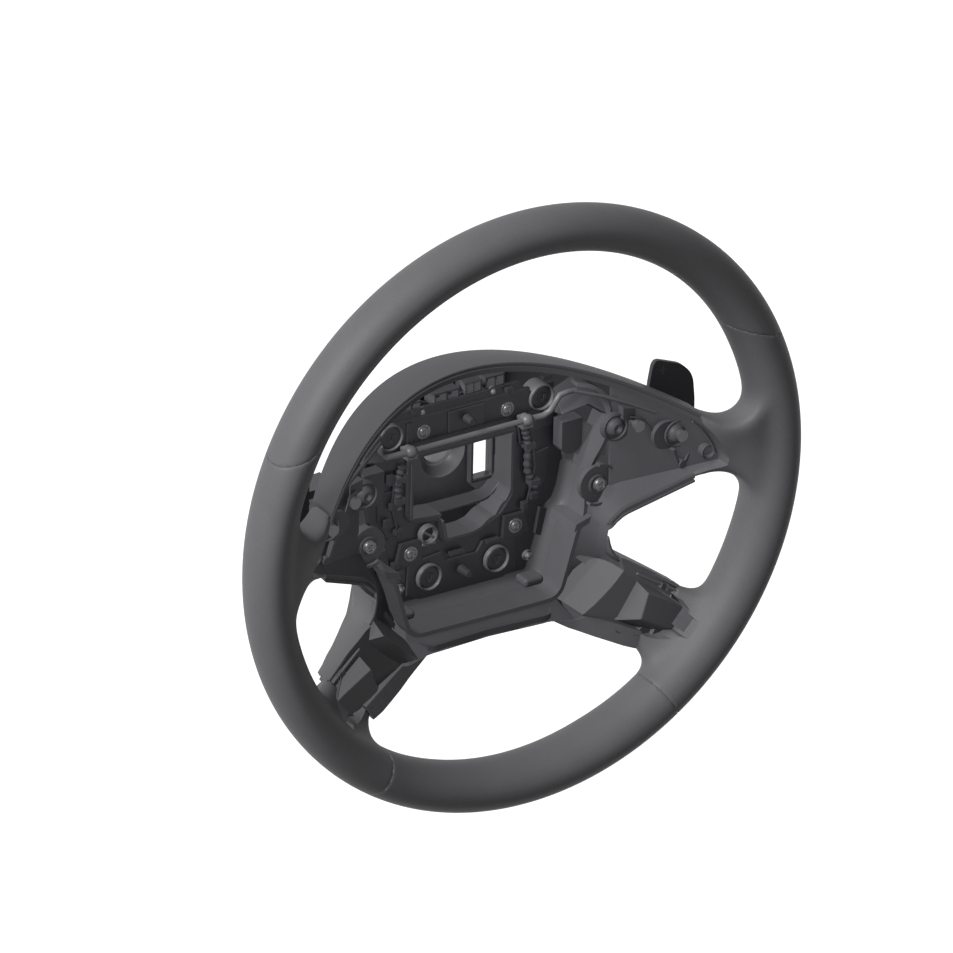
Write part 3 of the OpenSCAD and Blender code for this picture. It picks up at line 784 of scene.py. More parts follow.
class WHEEL_OT_spoke_trays(bpy.types.Operator):
    """Make the trays in the upper spokes with their bosses, ribs, ramp and skirt"""
    bl_idname = "wheel.spoke_trays"
    bl_label = "Spoke trays"

    def execute(self, context):
        both(("spoke_tray", tray_shape, "tray_plastic", {"smooth": 24}),
             ("tray_fittings", tray_details, "tray_plastic", {"nodes": (), "bevel": 0.45}),
             ("tray_wire", tray_wire, "plate_plastic", {"nodes": (), "slot": "grey_plastic", "smooth": 60}))
        return {"FINISHED"}


# Module carrier: the tub's wall, its straps and ears
CARRIER = [(0, -83, 33, 60), (49.5, -82.8, 33, 60), (61.4, -42.6, 33, 60), (66.5, -39.5, 35, 60),
           (71, -29, 41, 60), (73.6, -14, 41.5, 60)]
STRAP = [(73.4, -15, 41.5, 58), (75.8, -7, 40, 58), (80.0, 4, 36.5, 57), (85.0, 18.5, 36, 55),
         (84.2, 27, 36.5, 53), (79.5, 34.5, 37.5, 51), (72.5, 39.5, 39.5, 50), (66, 40.5, 43.5, 50)]


def rounded(points, radius, steps=5):
    """Fillet the corners of a path; further values of each point are blended along."""
    out = [tuple(points[0])]
    for i in range(1, len(points) - 1):
        a, p, b = (Vector(q) for q in points[i - 1:i + 2])
        la, lb = (a - p).to_2d().length if len(a) > 2 else (a - p).length, (b - p).length
        ra, rb = min(radius, la * 0.45) / max(la, 1e-6), min(radius, lb * 0.45) / max(lb, 1e-6)
        s, e = p + (a - p) * ra, p + (b - p) * rb
        for k in range(steps + 1):
            t = k / steps
            out.append(tuple((1 - t) ** 2 * s + 2 * t * (1 - t) * p + t * t * e))
    return out + [tuple(points[-1])]


def wall(bm, path, thick):
    """A wall along a path of x, z, front and back, thickened to the right of its direction."""
    rows = []
    for i, (x, z, front, back) in enumerate(path):
        a, b = path[max(i - 1, 0)], path[min(i + 1, len(path) - 1)]
        d = Vector((b[0] - a[0], b[1] - a[1])).normalized()
        ox, oz = x + d.y * thick, z - d.x * thick
        rows.append([at(x, front, z), at(x, back, z), at(ox, back, oz), at(ox, front, oz)])
    skin(bm, rows)


def both_sides(path):
    return [(-p[0],) + tuple(p[1:]) for p in reversed(path[1:])] + list(path)


EAR, EAR_R = (77.4, -21.4), 11.4
# section of the fillet at the wall's foot: distance from the wall and depth
FOOT = [(0.05, 52.5), (0.6, 55.5), (2.0, 58.0), (4.2, 59.4), (7.0, 59.9), (7.0, 60.6), (-0.8, 60.6),
        (-0.8, 52.5)]


class WHEEL_OT_module_carrier(bpy.types.Operator):
    """Make the carrier's wall with its foot fillet, straps and ears"""
    bl_idname = "wheel.module_carrier"
    bl_label = "Module carrier"

    def execute(self, context):
        bm = bmesh.new()
        tub = rounded(CARRIER, 7.5, 6)
        wall(bm, both_sides(tub), 2.6)
        half = bmesh.new()
        wall(half, rounded(STRAP, 5, 4), 2.4)
        prism(half, [(58.5, -44.8), (68.6, -41.6), (70.0, -37.4), (60.0, -40.4)], 32.2, 58)
        x, z = EAR
        tab(half, x, z, 0, 1, 0, 38, 41.4, EAR_R)
        turns = (math.radians(a) for a in range(-120, 91, 10))
        wall(half, [(x + EAR_R * math.cos(t), z + EAR_R * math.sin(t), 35.8, 41.4) for t in turns], 1.5)
        ring_shape(half, x, z, [(4.9, 37.2), (4.9, 38.4), (6.0, 38.4), (6.0, 37.6)])
        add_both(bm, half)
        piece("module_carrier", bm, "carrier_plastic", bevel=0.8, segments=3)
        # fillet where the wall meets the plate, and the rounded corner block
        bm = bmesh.new()
        rows = []
        path = both_sides(tub)
        for i, (x, z, *_) in enumerate(path):
            a, b = path[max(i - 1, 0)], path[min(i + 1, len(path) - 1)]
            d = Vector((b[0] - a[0], b[1] - a[1])).normalized()
            rows.append([at(x - d.y * r, y, z + d.x * r) for r, y in FOOT])
        skin(bm, rows)
        piece("carrier_foot", bm, "carrier_plastic", (), smooth=50)
        bm = bmesh.new()
        for s in (-1, 1):
            block(bm, s * 37, -82, s * 50, -76.5, 48.5, 60)
        piece("corner_blocks", bm, "carrier_plastic", (), bevel=2.2, segments=4)
        return {"FINISHED"}


# Base plate with its raised fields
PLATE = [(0, -83), (47.5, -82.7), (52.5, -74), (61, -42.5), (68, -37), (75, -12), (72, 10), (66, 36),
         (40, 47), (0, 47)]
WELL = [(33, 14), (33, -25), (24, -36), (6, -43), (-12, -43), (-15, -27), (-36, -24), (-36, 14)]


def ring_prism(bm, outer, inner, y0, y1):
    """A plate between two outlines with the same number of points."""
    rows = [[at(x, y0, z) for x, z in outer], [at(x, y0, z) for x, z in inner],
            [at(x, y1, z) for x, z in inner], [at(x, y1, z) for x, z in outer]]
    rings = [loop(bm, r)[0] for r in rows]
    for a, b in zip(rings, rings[1:] + rings[:1]):
        for i in range(len(a)):
            bm.faces.new((a[i - 1], a[i], b[i], b[i - 1]))


def grown(outline, gap):
    """An outline in X and Z grown outwards, for a path that runs clockwise."""
    out = []
    n = len(outline)
    for i in range(n):
        a, p, b = Vector(outline[i - 1]), Vector(outline[i]), Vector(outline[(i + 1) % n])
        u, v = (p - a).normalized(), (b - p).normalized()
        nu, nv = Vector((-u.y, u.x)), Vector((-v.y, v.x))
        m = (nu + nv).normalized()
        out.append(tuple(p + m * gap / max(0.4, m.dot(nu))))
    return out


def distance_to(outline, centre, d):
    """How far an outline is from a point inside it along a direction."""
    best = 0.0
    for i in range(len(outline)):
        a, b = Vector(outline[i - 1]), Vector(outline[i])
        e = b - a
        den = d.x * e.y - d.y * e.x
        if abs(den) < 1e-9:
            continue
        t = ((a.x - centre.x) * e.y - (a.y - centre.y) * e.x) / den
        u = ((a.x - centre.x) * d.y - (a.y - centre.y) * d.x) / den
        if -1e-6 <= u <= 1 + 1e-6:
            best = max(best, t)
    return best


class WHEEL_OT_base_plate(bpy.types.Operator):
    """Make the base plate with its well, raised fields and the well's wall"""
    bl_idname = "wheel.base_plate"
    bl_label = "Base plate"

    def execute(self, context):
        bm = bmesh.new()
        well = rounded(WELL + WELL[:1], 4, 3)[:-1]
        n = len(well)
        outline = PLATE + [(-x, z) for x, z in reversed(PLATE[1:-1])]
        # the plate's outer edge is sampled at the same angles as the well's edge
        centre = Vector((0, -14))
        ring = []
        for p in well:
            d = (Vector(p) - centre).normalized()
            ring.append(tuple(centre + d * distance_to(outline, centre, d)))
        ring_prism(bm, ring, well, 60, 63)
        sign = -1 if sum((well[i][0] - well[i - 1][0]) * (well[i][1] + well[i - 1][1])
                         for i in range(n)) > 0 else 1
        ring_prism(bm, grown(well, sign * -2.2), well, 57.6, 61)
        piece("base_plate", bm, "plate_plastic", bevel=0.4, segments=2)

        bm = bmesh.new()
        # the cross strip that carries the top screws and the upper peg
        prism(bm, [(-61, 24.5), (44, 24.5), (46, 27), (46, 36), (42, 39.5), (-55, 39.5), (-61, 33)], 57.4, 61)
        block(bm, -12, 25.5, 12, 38.5, 56.2, 58)
        block(bm, -40, 26, -36, 38, 56.4, 58)
        prism(bm, [(-58, 40.5), (40, 40.5), (37, 45), (-48, 45)], 58.2, 61)
        # fields round the lower dampers and screws
        prism(bm, [(-36, -52), (-14, -50), (-10, -56), (10, -56), (14, -50), (36, -52), (37, -72), (28, -76),
                   (-28, -76), (-37, -72)], 58.4, 61)
        for s in (-1, 1):
            prism(bm, [(s * 28, -38), (s * 42, -38), (s * 45, -50), (s * 39, -53), (s * 27, -52)], 57.6, 61)
            prism(bm, [(s * 40, 20), (s * 60, 20), (s * 60, 12), (s * 46, 10), (s * 40, 14)], 58.6, 61)
            prism(bm, [(s * 46, -4), (s * 58, -2), (s * 57, -20), (s * 50, -34), (s * 45, -24)], 58.8, 61)
            prism(bm, [(s * 52, -38), (s * 57, -40), (s * 53, -56), (s * 49, -54)], 57.8, 61)
            tube(bm, [(s * 36, 58.2, 18.5), (s * 38, 58.2, 6), (s * 47, 58.2, 2), (s * 48.5, 58.2, -12),
                      (s * 43, 58.2, -34)], 0.8, 6)
        for x, z, w, h in ((-50, 5, 4, 6), (-48, -12, 5, 4), (-52, -22, 4, 5), (-44, -29, 6, 3),
                           (47, -29, 5, 4), (41, -34, 3.5, 5), (-34, 44, 6, 2), (29, 42.5, 5, 3),
                           (54, 44, 6, 2.5), (56, 22, 3, 5), (-42, -58, 4, 7), (-46, -50, 4, 4),
                           (20, -50.5, 9, 2), (-4, -52, 10, 2)):
            block(bm, x - w / 2, z - h / 2, x + w / 2, z + h / 2, 55.6, 59.5)
        piece("plate_fields", bm, "plate_plastic", (), bevel=0.35, segments=2)

        bm = bmesh.new()
        line = rounded([(33, 14), (33, -22), (29.5, -28.5), (26.5, -29.5), (22, -36.5), (18, -37),
                        (12, -41.5), (6, -43), (-12, -43), (-15, -30)], 1.6, 2)
        wall(bm, [(x, z, 57.0, 73.5) for x, z in line], 1.8)
        wall(bm, [(-15, -27, 57.5, 73.5), (-36, -24, 57.5, 73.5), (-36, 14, 57.5, 73.5)], 1.8)
        piece("well_wall", bm, "carrier_plastic", bevel=0.3, segments=2)

        # hub pan: the wall below and beside the column, and the frame of the cable opening
        bm = bmesh.new()
        line = rounded([(-34, -29), (24, -29), (33, -20), (36, -4), (36, 16)], 6, 5)
        wall(bm, [(x, z, 68.5, 80.4) for x, z in line], 2.2)
        outer = [(16.5, -22.5), (33, -22.5), (33, 5.5), (16.5, 5.5)]
        inner = [(19, -20), (31, -20), (31, 3), (19, 3)]
        ring_prism(bm, outer, inner, 76.5, 80.4)
        block(bm, -30, -26, -24, -12, 76, 80.4)
        piece("pan_walls", bm, "cast_metal", (), "cast_magnesium", bevel=0.8, segments=3)
        return {"FINISHED"}


# Small parts on the plate
def screw(bm, x, z, y, r, shank, length):
    """A pan head screw along the depth with a cross on it, drawn from its head's face at depth y."""
    turned(bm, x, z, [(0, y + 1.0), (r * 0.45, y + 0.9), (r * 0.5, y), (r * 0.85, y + 0.35), (r, y + 1.4),
                      (r, y + 2.6), (shank, y + 2.6), (shank, y + length), (0, y + length)], 28)
    c = Vector((x, z))
    for a in (0.5, 0.5 + math.pi / 2):
        d = Vector((math.cos(a), math.sin(a))) * r * 0.62
        n = Vector((-d.y, d.x)).normalized() * 0.35
        prism(bm, [tuple(c + d + n), tuple(c + d - n), tuple(c - d - n), tuple(c - d + n)], y - 0.25, y + 1.2)


# the contact wire, with the radius at each of its points
WIRE_LINE = [(-61, 52.5, 31), (-60.3, 53.5, 25.5), (-57, 53.5, 22.2), (-50, 53.5, 22), (-44, 53.5, 22),
             (-41, 53.5, 22), (-38, 53.5, 22), (-35, 53.5, 22), (-20, 53.5, 22), (0, 53.5, 22),
             (20, 53.5, 22), (35, 53.5, 22), (38, 53.5, 22), (41, 53.5, 22), (44, 53.5, 22), (50, 53.2, 22.2),
             (54, 52, 25), (56.6, 51, 30), (59, 50.2, 34.2), (64, 50, 35), (70, 50, 34.6)]
WIRE_RADII = [1.6, 1.8, 1.9, 1.9, 2.0, 2.2, 2.0, 1.8, 1.8, 1.8, 1.8, 1.8, 2.0, 2.2, 2.0, 1.9, 1.8, 1.8, 1.7,
              1.6, 1.5]
DAMPERS = [(51, 32), (22.8, -62.8)]
SCREWS = [(28.3, 30), (35.4, -45.2)]


class WHEEL_OT_plate_parts(bpy.types.Operator):
    """Make the dampers, screws, pegs, posts, wire, clips, conduits and connector ring on the plate"""
    bl_idname = "wheel.plate_parts"
    bl_label = "Parts on the plate"

    def execute(self, context):
        bm = bmesh.new()
        for x, z in DAMPERS:
            ring_shape(bm, x, z, [(8.3, 66), (8.3, 56.6), (8.0, 55.9), (7.4, 55.8), (7.1, 56.6), (7.1, 66)],
                       48)
        mirrored(bm)
        piece("damper_cups", bm, "wire_grey", slot="grey_plastic", smooth=35)
        bm = bmesh.new()
        for x, z in DAMPERS:
            for s in (-1, 1):
                turned(bm, s * x, z, [(0, 57.2), (2.6, 57.2), (2.9, 56.9), (6.0, 56.9), (6.4, 57.6),
                                      (7.05, 57.6), (7.05, 64.5), (0, 64.5)], 40)
                # hook mark on the cap
                block(bm, s * x - 0.3, z - 1.9, s * x + 2.0, z - 1.3, 56.4, 57.6)
                block(bm, s * x + 1.3, z - 1.9, s * x + 2.0, z + 1.6, 56.4, 57.6)
        piece("damper_caps", bm, "plate_plastic", bevel=0.15, segments=1)
        bm = bmesh.new()
        for x, z in SCREWS:
            for s in (-1, 1):
                screw(bm, s * x, z, 56, 3.3, 1.95, 12)
        piece("plate_screws", bm, "dark_steel", slot="steel", bevel=0.1, segments=1)
        bm = bmesh.new()
        for x, z in SCREWS:
            ring_shape(bm, x, z, [(4.9, 60), (4.9, 58.4), (4.4, 57.2), (2.2, 57.2), (2.2, 60)], 40)
        mirrored(bm)
        piece("plate_washers", bm, "dark_steel", slot="steel", smooth=35)
        bm = bmesh.new()
        for x, z in ((0, 32), (0, -64)):
            turned(bm, x, z, [(0, 50.2), (1.9, 50.2), (2.5, 50.8), (3.0, 57), (3.2, 58.5), (4.6, 59.6),
                              (4.6, 60), (0, 60)], 36)
        piece("locating_pegs", bm, "plate_plastic", smooth=40)
        bm = bmesh.new()
        for x, z in ((-28.6, 42), (19, 43), (-41, -67), (45, -67)):
            turned(bm, x, z, [(0, 56.4), (0.9, 56.6), (1.6, 57.3), (1.9, 58.4), (2.0, 60), (0, 60)], 24)
            ring_shape(bm, x, z, [(3.2, 60), (3.2, 59.2), (2.8, 58.9), (2.5, 60)], 24)
        piece("dome_posts", bm, "wire_grey", smooth=50)

        bm = bmesh.new()
        tube(bm, WIRE_LINE, WIRE_RADII, 16)
        piece("contact_wire", bm, "wire_grey", slot="grey_plastic", smooth=60)
        bm = bmesh.new()
        for s in (-1, 1):
            ball(bm, s * 39.4, 53.2, 22, 4.0, 3.6)
            block(bm, s * 35.6, 17.4, s * 42.6, 20.4, 52, 58)
            drum(bm, s * 39.4, 22, 54, 60, 3.0, segments=28)
        piece("wire_bosses", bm, "wire_grey", slot="grey_plastic", smooth=50)

        bm = bmesh.new()
        for x, w, z in ((-42, 13, 41.5), (-20, 17, 43), (1, 11, 44.5), (14.5, 13, 44.6)):
            for a, b in (((0, 0), (w, 1.2)), ((0, 6.3), (w, 7.5)), ((0, 0), (1.2, 7.5)),
                         ((w - 1.2, 0), (w, 7.5)), ((w * 0.45, 0), (w * 0.55, 7.5))):
                block(bm, x + a[0], z + a[1], x + b[0], z + b[1], 59.5, 70)
            block(bm, x, z, x + w, z + 7.5, 66, 70)
        piece("box_clips", bm, "tray_plastic", bevel=0.25, segments=1)

        for side, pts in (("right", [(40, 57.4, 16), (43, 57.4, 4), (43, 57.4, -12), (49, 57.4, -24)]),
                          ("left", [(-42.5, 57.4, 12), (-45, 57.4, 0), (-44, 57.4, -14)])):
            path = smooth_path(pts, 14)
            bm = bmesh.new()
            tube(bm, path, [2.6 if i % 4 < 2 else 2.0 for i in range(len(path))])
            for q in (path[len(path) // 3], path[-6]):
                block(bm, q.x - 3.2, q.z - 1.6, q.x + 3.2, q.z + 1.6, 54.2, 60)
            piece("conduit_" + side, bm, "conduit_black", slot="conduit", smooth=30)
        bm = bmesh.new()
        ring_shape(bm, -23.5, -36, [(6.0, 60), (6.0, 56.6), (5.5, 56), (4.9, 56), (4.4, 56.6), (4.4, 60)], 36)
        prism(bm, [(-28.4, -33.2), (-27.6, -31.8), (-18.6, -38.8), (-19.4, -40.2)], 56.6, 59)
        block(bm, -28, -42.2, -19, -41, 56.6, 60)
        piece("connector_ring", bm, "wire_grey", slot="grey_plastic", bevel=0.2, segments=1)
        bm = bmesh.new()
        for s in (-1, 1):
            screw(bm, s * 77.9, -21, 34, 4.3, 2.4, 14)
        piece("ear_screws", bm, "dark_steel", slot="steel", bevel=0.1, segments=1)
        bm = bmesh.new()
        turned(bm, 0, 0, [(15, 80.1), (15, 98), (8.5, 98), (8.5, 87), (9.6, 86.2), (10.2, 86), (14.4, 80.4),
                          (15, 80.1)], 64)
        piece("hub_sleeve", bm, "dark_steel", slot="steel", smooth=30)
        return {"FINISHED"}


def ball(bm, x, y, z, rx, r):
    """A rounded swelling, longer along X."""
    place = Matrix.Translation(at(x, y, z)) @ Matrix.Diagonal((rx * MM, r * MM, r * MM, 1))
    bmesh.ops.create_uvsphere(bm, u_segments=28, v_segments=18, radius=1.0, matrix=place)


# Lower spokes
PANEL = [(66.8, 49.8, -82.2), (70.2, 50.3, -79), (74.9, 48.9, -75.2), (78.5, 46.5, -72.7), (81.3, 43, -71.3),
         (83.3, 38.2, -70.9), (85, 32.8, -71), (86.9, 23.1, -72.2), (82.6, 22.7, -76.3), (78.5, 22.6, -80),
         (72.7, 23.1, -85), (67.1, 23.9, -89.7), (61.2, 25.7, -94.6), (57.1, 46.5, -91.9)]
PLATEAU = [(86.9, 23.1, -72.2), (82.6, 22.7, -76.3), (78.5, 22.6, -80), (72.7, 23.1, -85),
           (67.1, 23.9, -89.7), (61.2, 25.7, -94.6), (70, 23.6, -98.6), (80.8, 20.6, -102.3),
           (96.5, 16.5, -108.6), (104, 15.8, -101), (112, 15, -93), (119, 13.9, -86.6), (118.5, 13.9, -85.3),
           (108, 17.6, -78.4), (101.6, 20, -73.8), (95, 22, -69.9), (89.8, 23.8, -66.4), (85.8, 25, -64.6)]
WINDOW = [(78.8, -50, 26.5, 52), (79.6, -54.5, 26.2, 52), (81, -59, 25.8, 51), (83.4, -62.6, 25.3, 49),
          (86.4, -65, 24.6, 46), (92, -68.2, 22.9, 42), (97.5, -71.6, 20.9, 38), (103.5, -75.4, 18.8, 34),
          (109.5, -79.4, 16.8, 31), (114, -82.4, 15.3, 28), (118.4, -85.4, 13.8, 26)]
BAND = [((43, 27, -94.4), (43.5, 27.6, -95)), ((57, 25.2, -96.6), (52, 25, -100.2)),
        ((62, 24.3, -95.6), (58, 22.6, -103)), ((71, 20.6, -98.4), (66, 18.9, -106.8)),
        ((80.8, 16.9, -102.3), (75, 15.4, -110.9)), ((88, 14.6, -105.6), (82, 13.0, -114.2)),
        ((93.4, 13.0, -108.2), (88.8, 11.8, -117))]


SIGHT = Vector((0.4987, 0.7467, -0.4402))  # the way the camera looks


def slab(bm, points, push, normal=None, lift=0.0):
    """Thicken a polygon; one with a normal is first made flat and lifted along the line of sight."""
    if normal:
        normal = Vector(normal)
        pts = [Vector(p) for p in points]
        centre = sum(pts, Vector()) / len(pts) - SIGHT * lift
        points = [p + SIGHT * ((centre - p).dot(normal) / SIGHT.dot(normal)) for p in pts]
    thicken(bm, [at(*p) for p in points], Vector(push) * MM)


def on_beam(along, across, y):
    x, z = beam_xz(along, across)
    return at(x, y, z)


def spoke_body(bm):
    slab(bm, PANEL, SIGHT * 13, (-0.65, -0.22, 0.73), 11.5)
    slab(bm, PLATEAU, (0, 6, 0), (-0.19, -0.98, 0.06))
    # floor round the beam, in front of the leather's recess
    prism(bm, [beam_xz(*q) for q in ((7, -16), (34, -16), (40, -10), (40, 10), (34, 15), (7, 15))], 21.5, 24)
    prism(bm, [beam_xz(*q) for q in ((24, -13), (38, -9), (38, 10), (24, 13.2))], 14, 18)
    # edge along the window, with its wall towards the back
    rows = []
    for x, z, y, back in WINDOW:
        rows.append([at(x, y, z), at(x - 0.9, y - 0.2, z - 1.4), at(x - 1.4, y + 1.6, z - 2.6),
                     at(x - 1.4, back, z - 2.6), at(x, back, z)])
    skin(bm, rows)
    # slope from the window's corner into the valley beside the panel
    rows = []
    for a, b in (((78.6, 27, -52), (77.2, 41, -56)), ((79.6, 26.6, -56), (78, 44, -60)),
                 ((81, 26.2, -60), (79.2, 46, -65)), ((83.6, 25.8, -64), (80.6, 45.5, -70)),
                 ((86.2, 24.2, -69), (83.3, 38.4, -71)), ((87.4, 23.2, -72), (86.2, 27, -72.4))):
        rows.append([at(*a), at(*b), at(b[0] + 1.5, b[1] + 2, b[2]), at(a[0] + 1.5, a[1] + 2.4, a[2])])
    skin(bm, rows)
    # raised band along the lower edge, closed towards the back
    rows = []
    for a, b in BAND:
        deep = max(a[1], b[1]) + 15
        rows.append([at(*a), at(*b), at(b[0] - 0.4, b[1] + 1.6, b[2] - 0.5), at(b[0] + 0.6, deep, b[2] + 2.0),
                     at(a[0], deep, a[2])])
    skin(bm, rows)
    slab(bm, [(57.1, 46.5, -91.9), (61.2, 25.7, -94.6), (62, 24.9, -97), (56.6, 25.2, -97.2),
              (48.7, 40, -88.9)], (1.5, 2.5, 1.5))
    # back of the spoke
    rows = []
    for x0, z0, x1, z1, y in ((78, -50, 50, -95, 54), (86, -67, 62, -102, 45), (100, -76, 74, -108, 35),
                              (112, -84, 86, -113, 28.5), (119, -88.5, 94, -110, 25.5)):
        rows.append([at(x0, y - 2, z0), at((x0 + x1) / 2, y + 0.6, (z0 + z1) / 2), at(x1, y - 2, z1),
                     at(x1 + 0.6, y - 5, z1 + 1.5), at(x0 - 0.6, y - 5, z0 - 1.5)])
    skin(bm, rows)


# sections of the beam: its foot, the top's two edges and the other foot along and across it, then the depths
# of the top and of the feet
BEAM = [((0.76, 12.7), (2.57, 10.3), (6.2, -5.1), (-0.27, -12.76), 8.0, 20.5),
        ((12, 12.7), (12, 10.5), (12, -5.2), (12, -12.2), 7.6, 19.5),
        ((24, 12.5), (24, 10.6), (24, -4.8), (24, -10.6), 7.2, 18.5),
        ((30.5, 12.0), (31, 10.2), (30, -4.0), (30, -9.4), 7.0, 18.0)]


def beam_shape(bm):
    rows = []
    for foot, top_up, top_low, low, y0, y1 in BEAM:
        rows.append([on_beam(*foot, y1 + 5), on_beam(*foot, y1), on_beam(*top_up, y0), on_beam(*top_low, y0),
                     on_beam(*low, y1), on_beam(*low, y1 + 5)])
    skin(bm, rows)
    # rib beside the beam
    skin(bm, [[on_beam(a, c, y), on_beam(a, c - 1.7, y), on_beam(a, c - 1.7, y + 7), on_beam(a, c, y + 7)]
              for a, c, y in ((-1.5, 17.6, 19.4), (24.5, 17.6, 12.6))])
    # cup behind the beam's end
    ring_shape(bm, *beam_xz(35.4, 0.4), [(5.6, 17.8), (5.6, 13.2), (4.6, 12.4), (4.2, 17.8)], 32)


def clip_shape(bm):
    prism(bm, [(107.6, -81.6), (110.8, -83.4), (109.8, -86.8), (106.4, -85.0)], 14.4, 19)
    prism(bm, [(111.8, -83.8), (112.6, -84.3), (111.4, -88.0), (110.6, -87.6)], 14.4, 19)


# a thin dark sheet on the lower band: painted shade standing in for a slot
def slot_shade_sheet(bm):
    slab(bm, [(77.6, 16.9, -104.4), (91.6, 12.8, -110.3), (90.6, 12.9, -114.0), (86.2, 13.5, -112.3),
              (77.8, 16.2, -106)], (0, 1.4, 0))


class WHEEL_OT_lower_spokes(bpy.types.Operator):
    """Make the lower spokes' covers with the beam, the raised band and the clips"""
    bl_idname = "wheel.lower_spokes"
    bl_label = "Lower spokes"

    def execute(self, context):
        # covers and beams take the lighter copy of the shell plastic: painted light on their lit facets
        both(("lower_spoke", spoke_body, "spoke_plastic", {"bevel": 0.3, "angle": 24}),
             ("spoke_beam", beam_shape, "spoke_plastic",
              {"nodes": (), "bevel": 0.8, "segments": 4, "angle": 20}),
             ("spoke_clip", clip_shape, "tray_plastic", {"nodes": (), "bevel": 0.25, "segments": 1}),
             # the slot is a dark sheet, painted shade in place of a recess
             ("spoke_slot", slot_shade_sheet, "plate_plastic", {"nodes": (), "smooth": 30}))
        return {"FINISHED"}


# Shift paddles
BLADE = [(114.8, -30), (114.8, 29), (117.2, 41.6), (120, 43.8), (136.2, 37.4), (142.4, 31.3), (144.8, 26),
         (146, 13.6), (146, -10), (136, -30)]
ARM = [(108.4, 57), (108, 60), (112, 60), (121, 46), (121, 45.4), (116.5, 45.4), (112, 55)]  # X and depth
PIVOT = (110.5, 58)  # X and depth of the hinge
SIGN_AT = (124.2, 36.4)  # X and Z of the plus or minus sign


class WHEEL_OT_paddles(bpy.types.Operator):
    """Make the shift paddles with their blades, arms, barrels and signs"""
    bl_idname = "wheel.paddles"
    bl_label = "Shift paddles"

    def execute(self, context):
        for side in ("right", "left"):
            bm = bmesh.new()
            outline = rounded([BLADE[-1]] + BLADE + [BLADE[0]], 3.2, 4)[1:-1]
            prism(bm, outline, 43, 46)
            thicken(bm, [at(x, y, 3) for x, y in ARM], (0, 0, -6 * MM))
            px, py = PIVOT
            barrel = ((4, 8.7), (4, -8.7), (1.6, -8.7), (1.6, 8.7))
            ring, edges = loop(bm, [at(px + r, py, z) for r, z in barrel])
            bmesh.ops.spin(bm, geom=ring + edges, cent=at(px, py, 0), axis=(0, 0, 1), angle=2 * math.pi,
                           steps=32, use_merge=True)
            x, z = SIGN_AT
            block(bm, x - 2.6, z - 0.35, x + 2.6, z + 0.35, 42.8, 43.4)
            if side == "right":
                block(bm, x - 0.35, z - 2.6, x + 0.35, z + 2.6, 42.8, 43.4)
            if side == "left":
                flip(bm)
            piece("paddle_" + side, bm, "paddle_soft", slot="paddle_plastic", body=side + "_paddle",
                  bevel=0.5, segments=3)
        return {"FINISHED"}


# The parts whose solids are shown as they are get their finishes here
PLAIN = {
    "armature": "cast_metal", "tray_screws": "dark_steel",
    "paddle_housing_right": "shell_plastic", "paddle_housing_left": "shell_plastic",
    "paddle_pin_right": "dark_steel", "paddle_pin_left": "dark_steel", "paddle_spring_right": "dark_steel",
    "paddle_spring_left": "dark_steel",
}


class WHEEL_OT_plain_finishes(bpy.types.Operator):
    """Give the solids that stay visible their finishes"""
    bl_idname = "wheel.plain_finishes"
    bl_label = "Finishes of the solids"

    def execute(self, context):
        for name, finish in PLAIN.items():
            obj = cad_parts[name]
            mat = bpy.data.materials["wheel_" + finish]
            if obj.material_slots:
                for s in obj.material_slots:
                    s.material = mat
            else:
                obj.data.materials.append(mat)
        return {"FINISHED"}


CAM_RIGHT = Vector((0.8363, -0.5479, 0.0181)).normalized()
CAM_UP = Vector((0.2277, 0.3772, 0.8977)).normalized()
CAM_BACK = CAM_RIGHT.cross(CAM_UP).normalized()
CAM_PLACE = (-0.02475, 0.0169, 1.6)  # right, up and back from the rim's centre
FRAME_WIDTH = 0.5391
FLOOR_Z, FLOOR_REACH = -0.215, 6
FLOOR_GLOW, FLOOR_GLOW_SHARE = 1.7, 0.3
WORLD_LEVEL = 0.08
KEY_WAY, KEY_ANGLE = (0.74, 0.08, -0.67), 0.28
SHADOW_LEVEL = 1.5


def camera_point(right, up, back):
    return CAM_RIGHT * right + CAM_UP * up + CAM_BACK * back


def sun(name, strength):
    """A soft lamp along the key's direction."""
    data = bpy.data.lights.new(name, "SUN")
    data.energy = strength
    data.angle = KEY_ANGLE
    obj = bpy.data.objects.new(name, data)
    bpy.context.scene.collection.objects.link(obj)
    obj.rotation_euler = Vector(KEY_WAY).to_track_quat("-Z", "Y").to_euler()
    return obj


def any_ray(tree):
    """A value that is set for camera, glossy and transmission rays."""
    ray = node(tree, "LightPath", {})
    out = ray["Is Camera Ray"]
    for name in ("Is Glossy Ray", "Is Transmission Ray"):
        out = node(tree, "Math", {0: out, 1: ray[name]}, operation="MAXIMUM")[0]
    return out


def grey(value):
    return (value, value, value, 1)


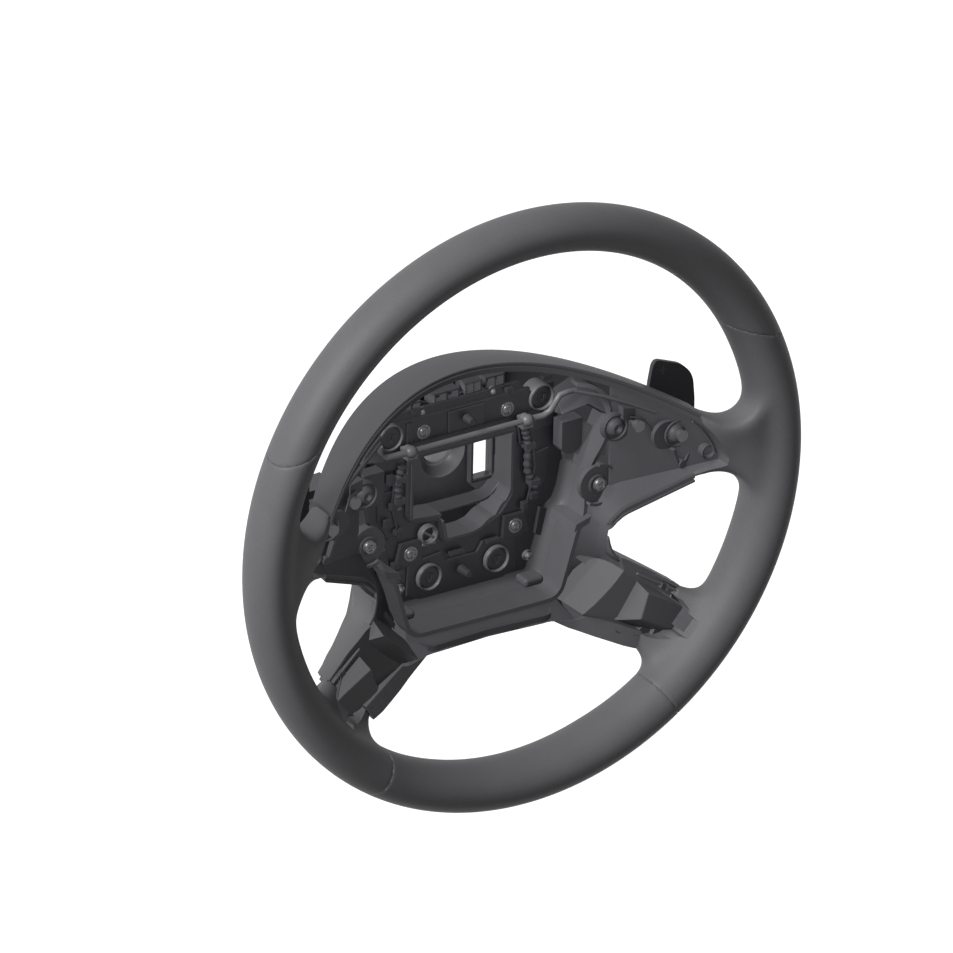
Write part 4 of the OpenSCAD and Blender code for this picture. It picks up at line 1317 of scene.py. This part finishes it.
class WHEEL_OT_stage(bpy.types.Operator):
    """Set the floor, the lights, the world and the camera"""
    bl_idname = "wheel.stage"
    bl_label = "Stage"

    def execute(self, context):
        scene = context.scene
        scene.view_settings.view_transform = "Standard"
        centre = at(0, 0, 0)
        cam = bpy.data.cameras.new("camera")
        cam.type = "ORTHO"
        cam.ortho_scale = FRAME_WIDTH
        cam.clip_end = 20
        obj = bpy.data.objects.new("camera", cam)
        scene.collection.objects.link(obj)
        turn = Matrix((CAM_RIGHT, CAM_UP, CAM_BACK)).transposed().to_4x4()
        place = centre + camera_point(*CAM_PLACE)
        obj.matrix_world = Matrix.Translation(place) @ turn
        scene.camera = obj

        bm = bmesh.new()
        bmesh.ops.create_grid(bm, x_segments=1, y_segments=1, size=FLOOR_REACH)
        floor = scratch(bm, "floor")
        floor.location = (0, 0, FLOOR_Z)
        mat = bpy.data.materials.new("floor_pale")
        mat.use_nodes = True
        tree = mat.node_tree
        shader = tree.nodes["Principled BSDF"]
        feed(tree, shader, {"Base Color": grey(0.12), "Roughness": 0.9})
        pale = node(tree, "BsdfDiffuse", {"Color": grey(0.85)})[0]
        glow = node(tree, "Emission", {"Strength": FLOOR_GLOW})[0]
        seen = node(tree, "MixShader", {0: FLOOR_GLOW_SHARE, 1: pale, 2: glow})[0]
        mix = node(tree, "MixShader", {0: any_ray(tree), 1: shader.outputs[0], 2: seen})[0]
        feed(tree, tree.nodes["Material Output"], {"Surface": mix})
        floor.data.materials.append(mat)

        world = bpy.data.worlds.new("studio")
        scene.world = world
        world.use_nodes = True
        tree = world.node_tree
        back = tree.nodes["Background"]
        feed(tree, back, {"Color": grey(1), "Strength": WORLD_LEVEL})
        white = node(tree, "Background", {"Color": grey(1), "Strength": 1.0})[0]
        mix = node(tree, "MixShader", {0: any_ray(tree), 1: back.outputs[0], 2: white})[0]
        feed(tree, tree.nodes["World Output"], {"Surface": mix})

        sun("key", scene.wheel_sizes.key).data.use_shadow = False
        sun("key_with_shadow", SHADOW_LEVEL)
        return {"FINISHED"}


class WHEEL_PT_panel(bpy.types.Panel):
    """Lists the wheel's operators"""
    bl_label = "Steering Wheel"
    bl_idname = "WHEEL_PT_panel"
    bl_space_type = "VIEW_3D"
    bl_region_type = "UI"
    bl_category = "Wheel"

    def draw(self, context):
        for name in WheelSizes.__annotations__:
            self.layout.prop(context.scene.wheel_sizes, name)
        for op in OPERATORS:
            self.layout.operator(op.bl_idname)


OPERATORS = (WHEEL_OT_materials, WHEEL_OT_leather, WHEEL_OT_hub_shell, WHEEL_OT_spoke_trays,
             WHEEL_OT_module_carrier, WHEEL_OT_base_plate, WHEEL_OT_plate_parts, WHEEL_OT_lower_spokes,
             WHEEL_OT_paddles, WHEEL_OT_plain_finishes, WHEEL_OT_stage)
CLASSES = (WheelSizes,) + OPERATORS + (WHEEL_PT_panel,)


def register():
    for cls in CLASSES:
        bpy.utils.register_class(cls)
    bpy.types.Scene.wheel_sizes = PointerProperty(type=WheelSizes)


def unregister():
    del bpy.types.Scene.wheel_sizes
    for cls in reversed(CLASSES):
        bpy.utils.unregister_class(cls)


def main():
    register()
    for op in OPERATORS:
        getattr(bpy.ops.wheel, op.bl_idname.split(".")[1])()


if __name__ == "__main__":
    main()
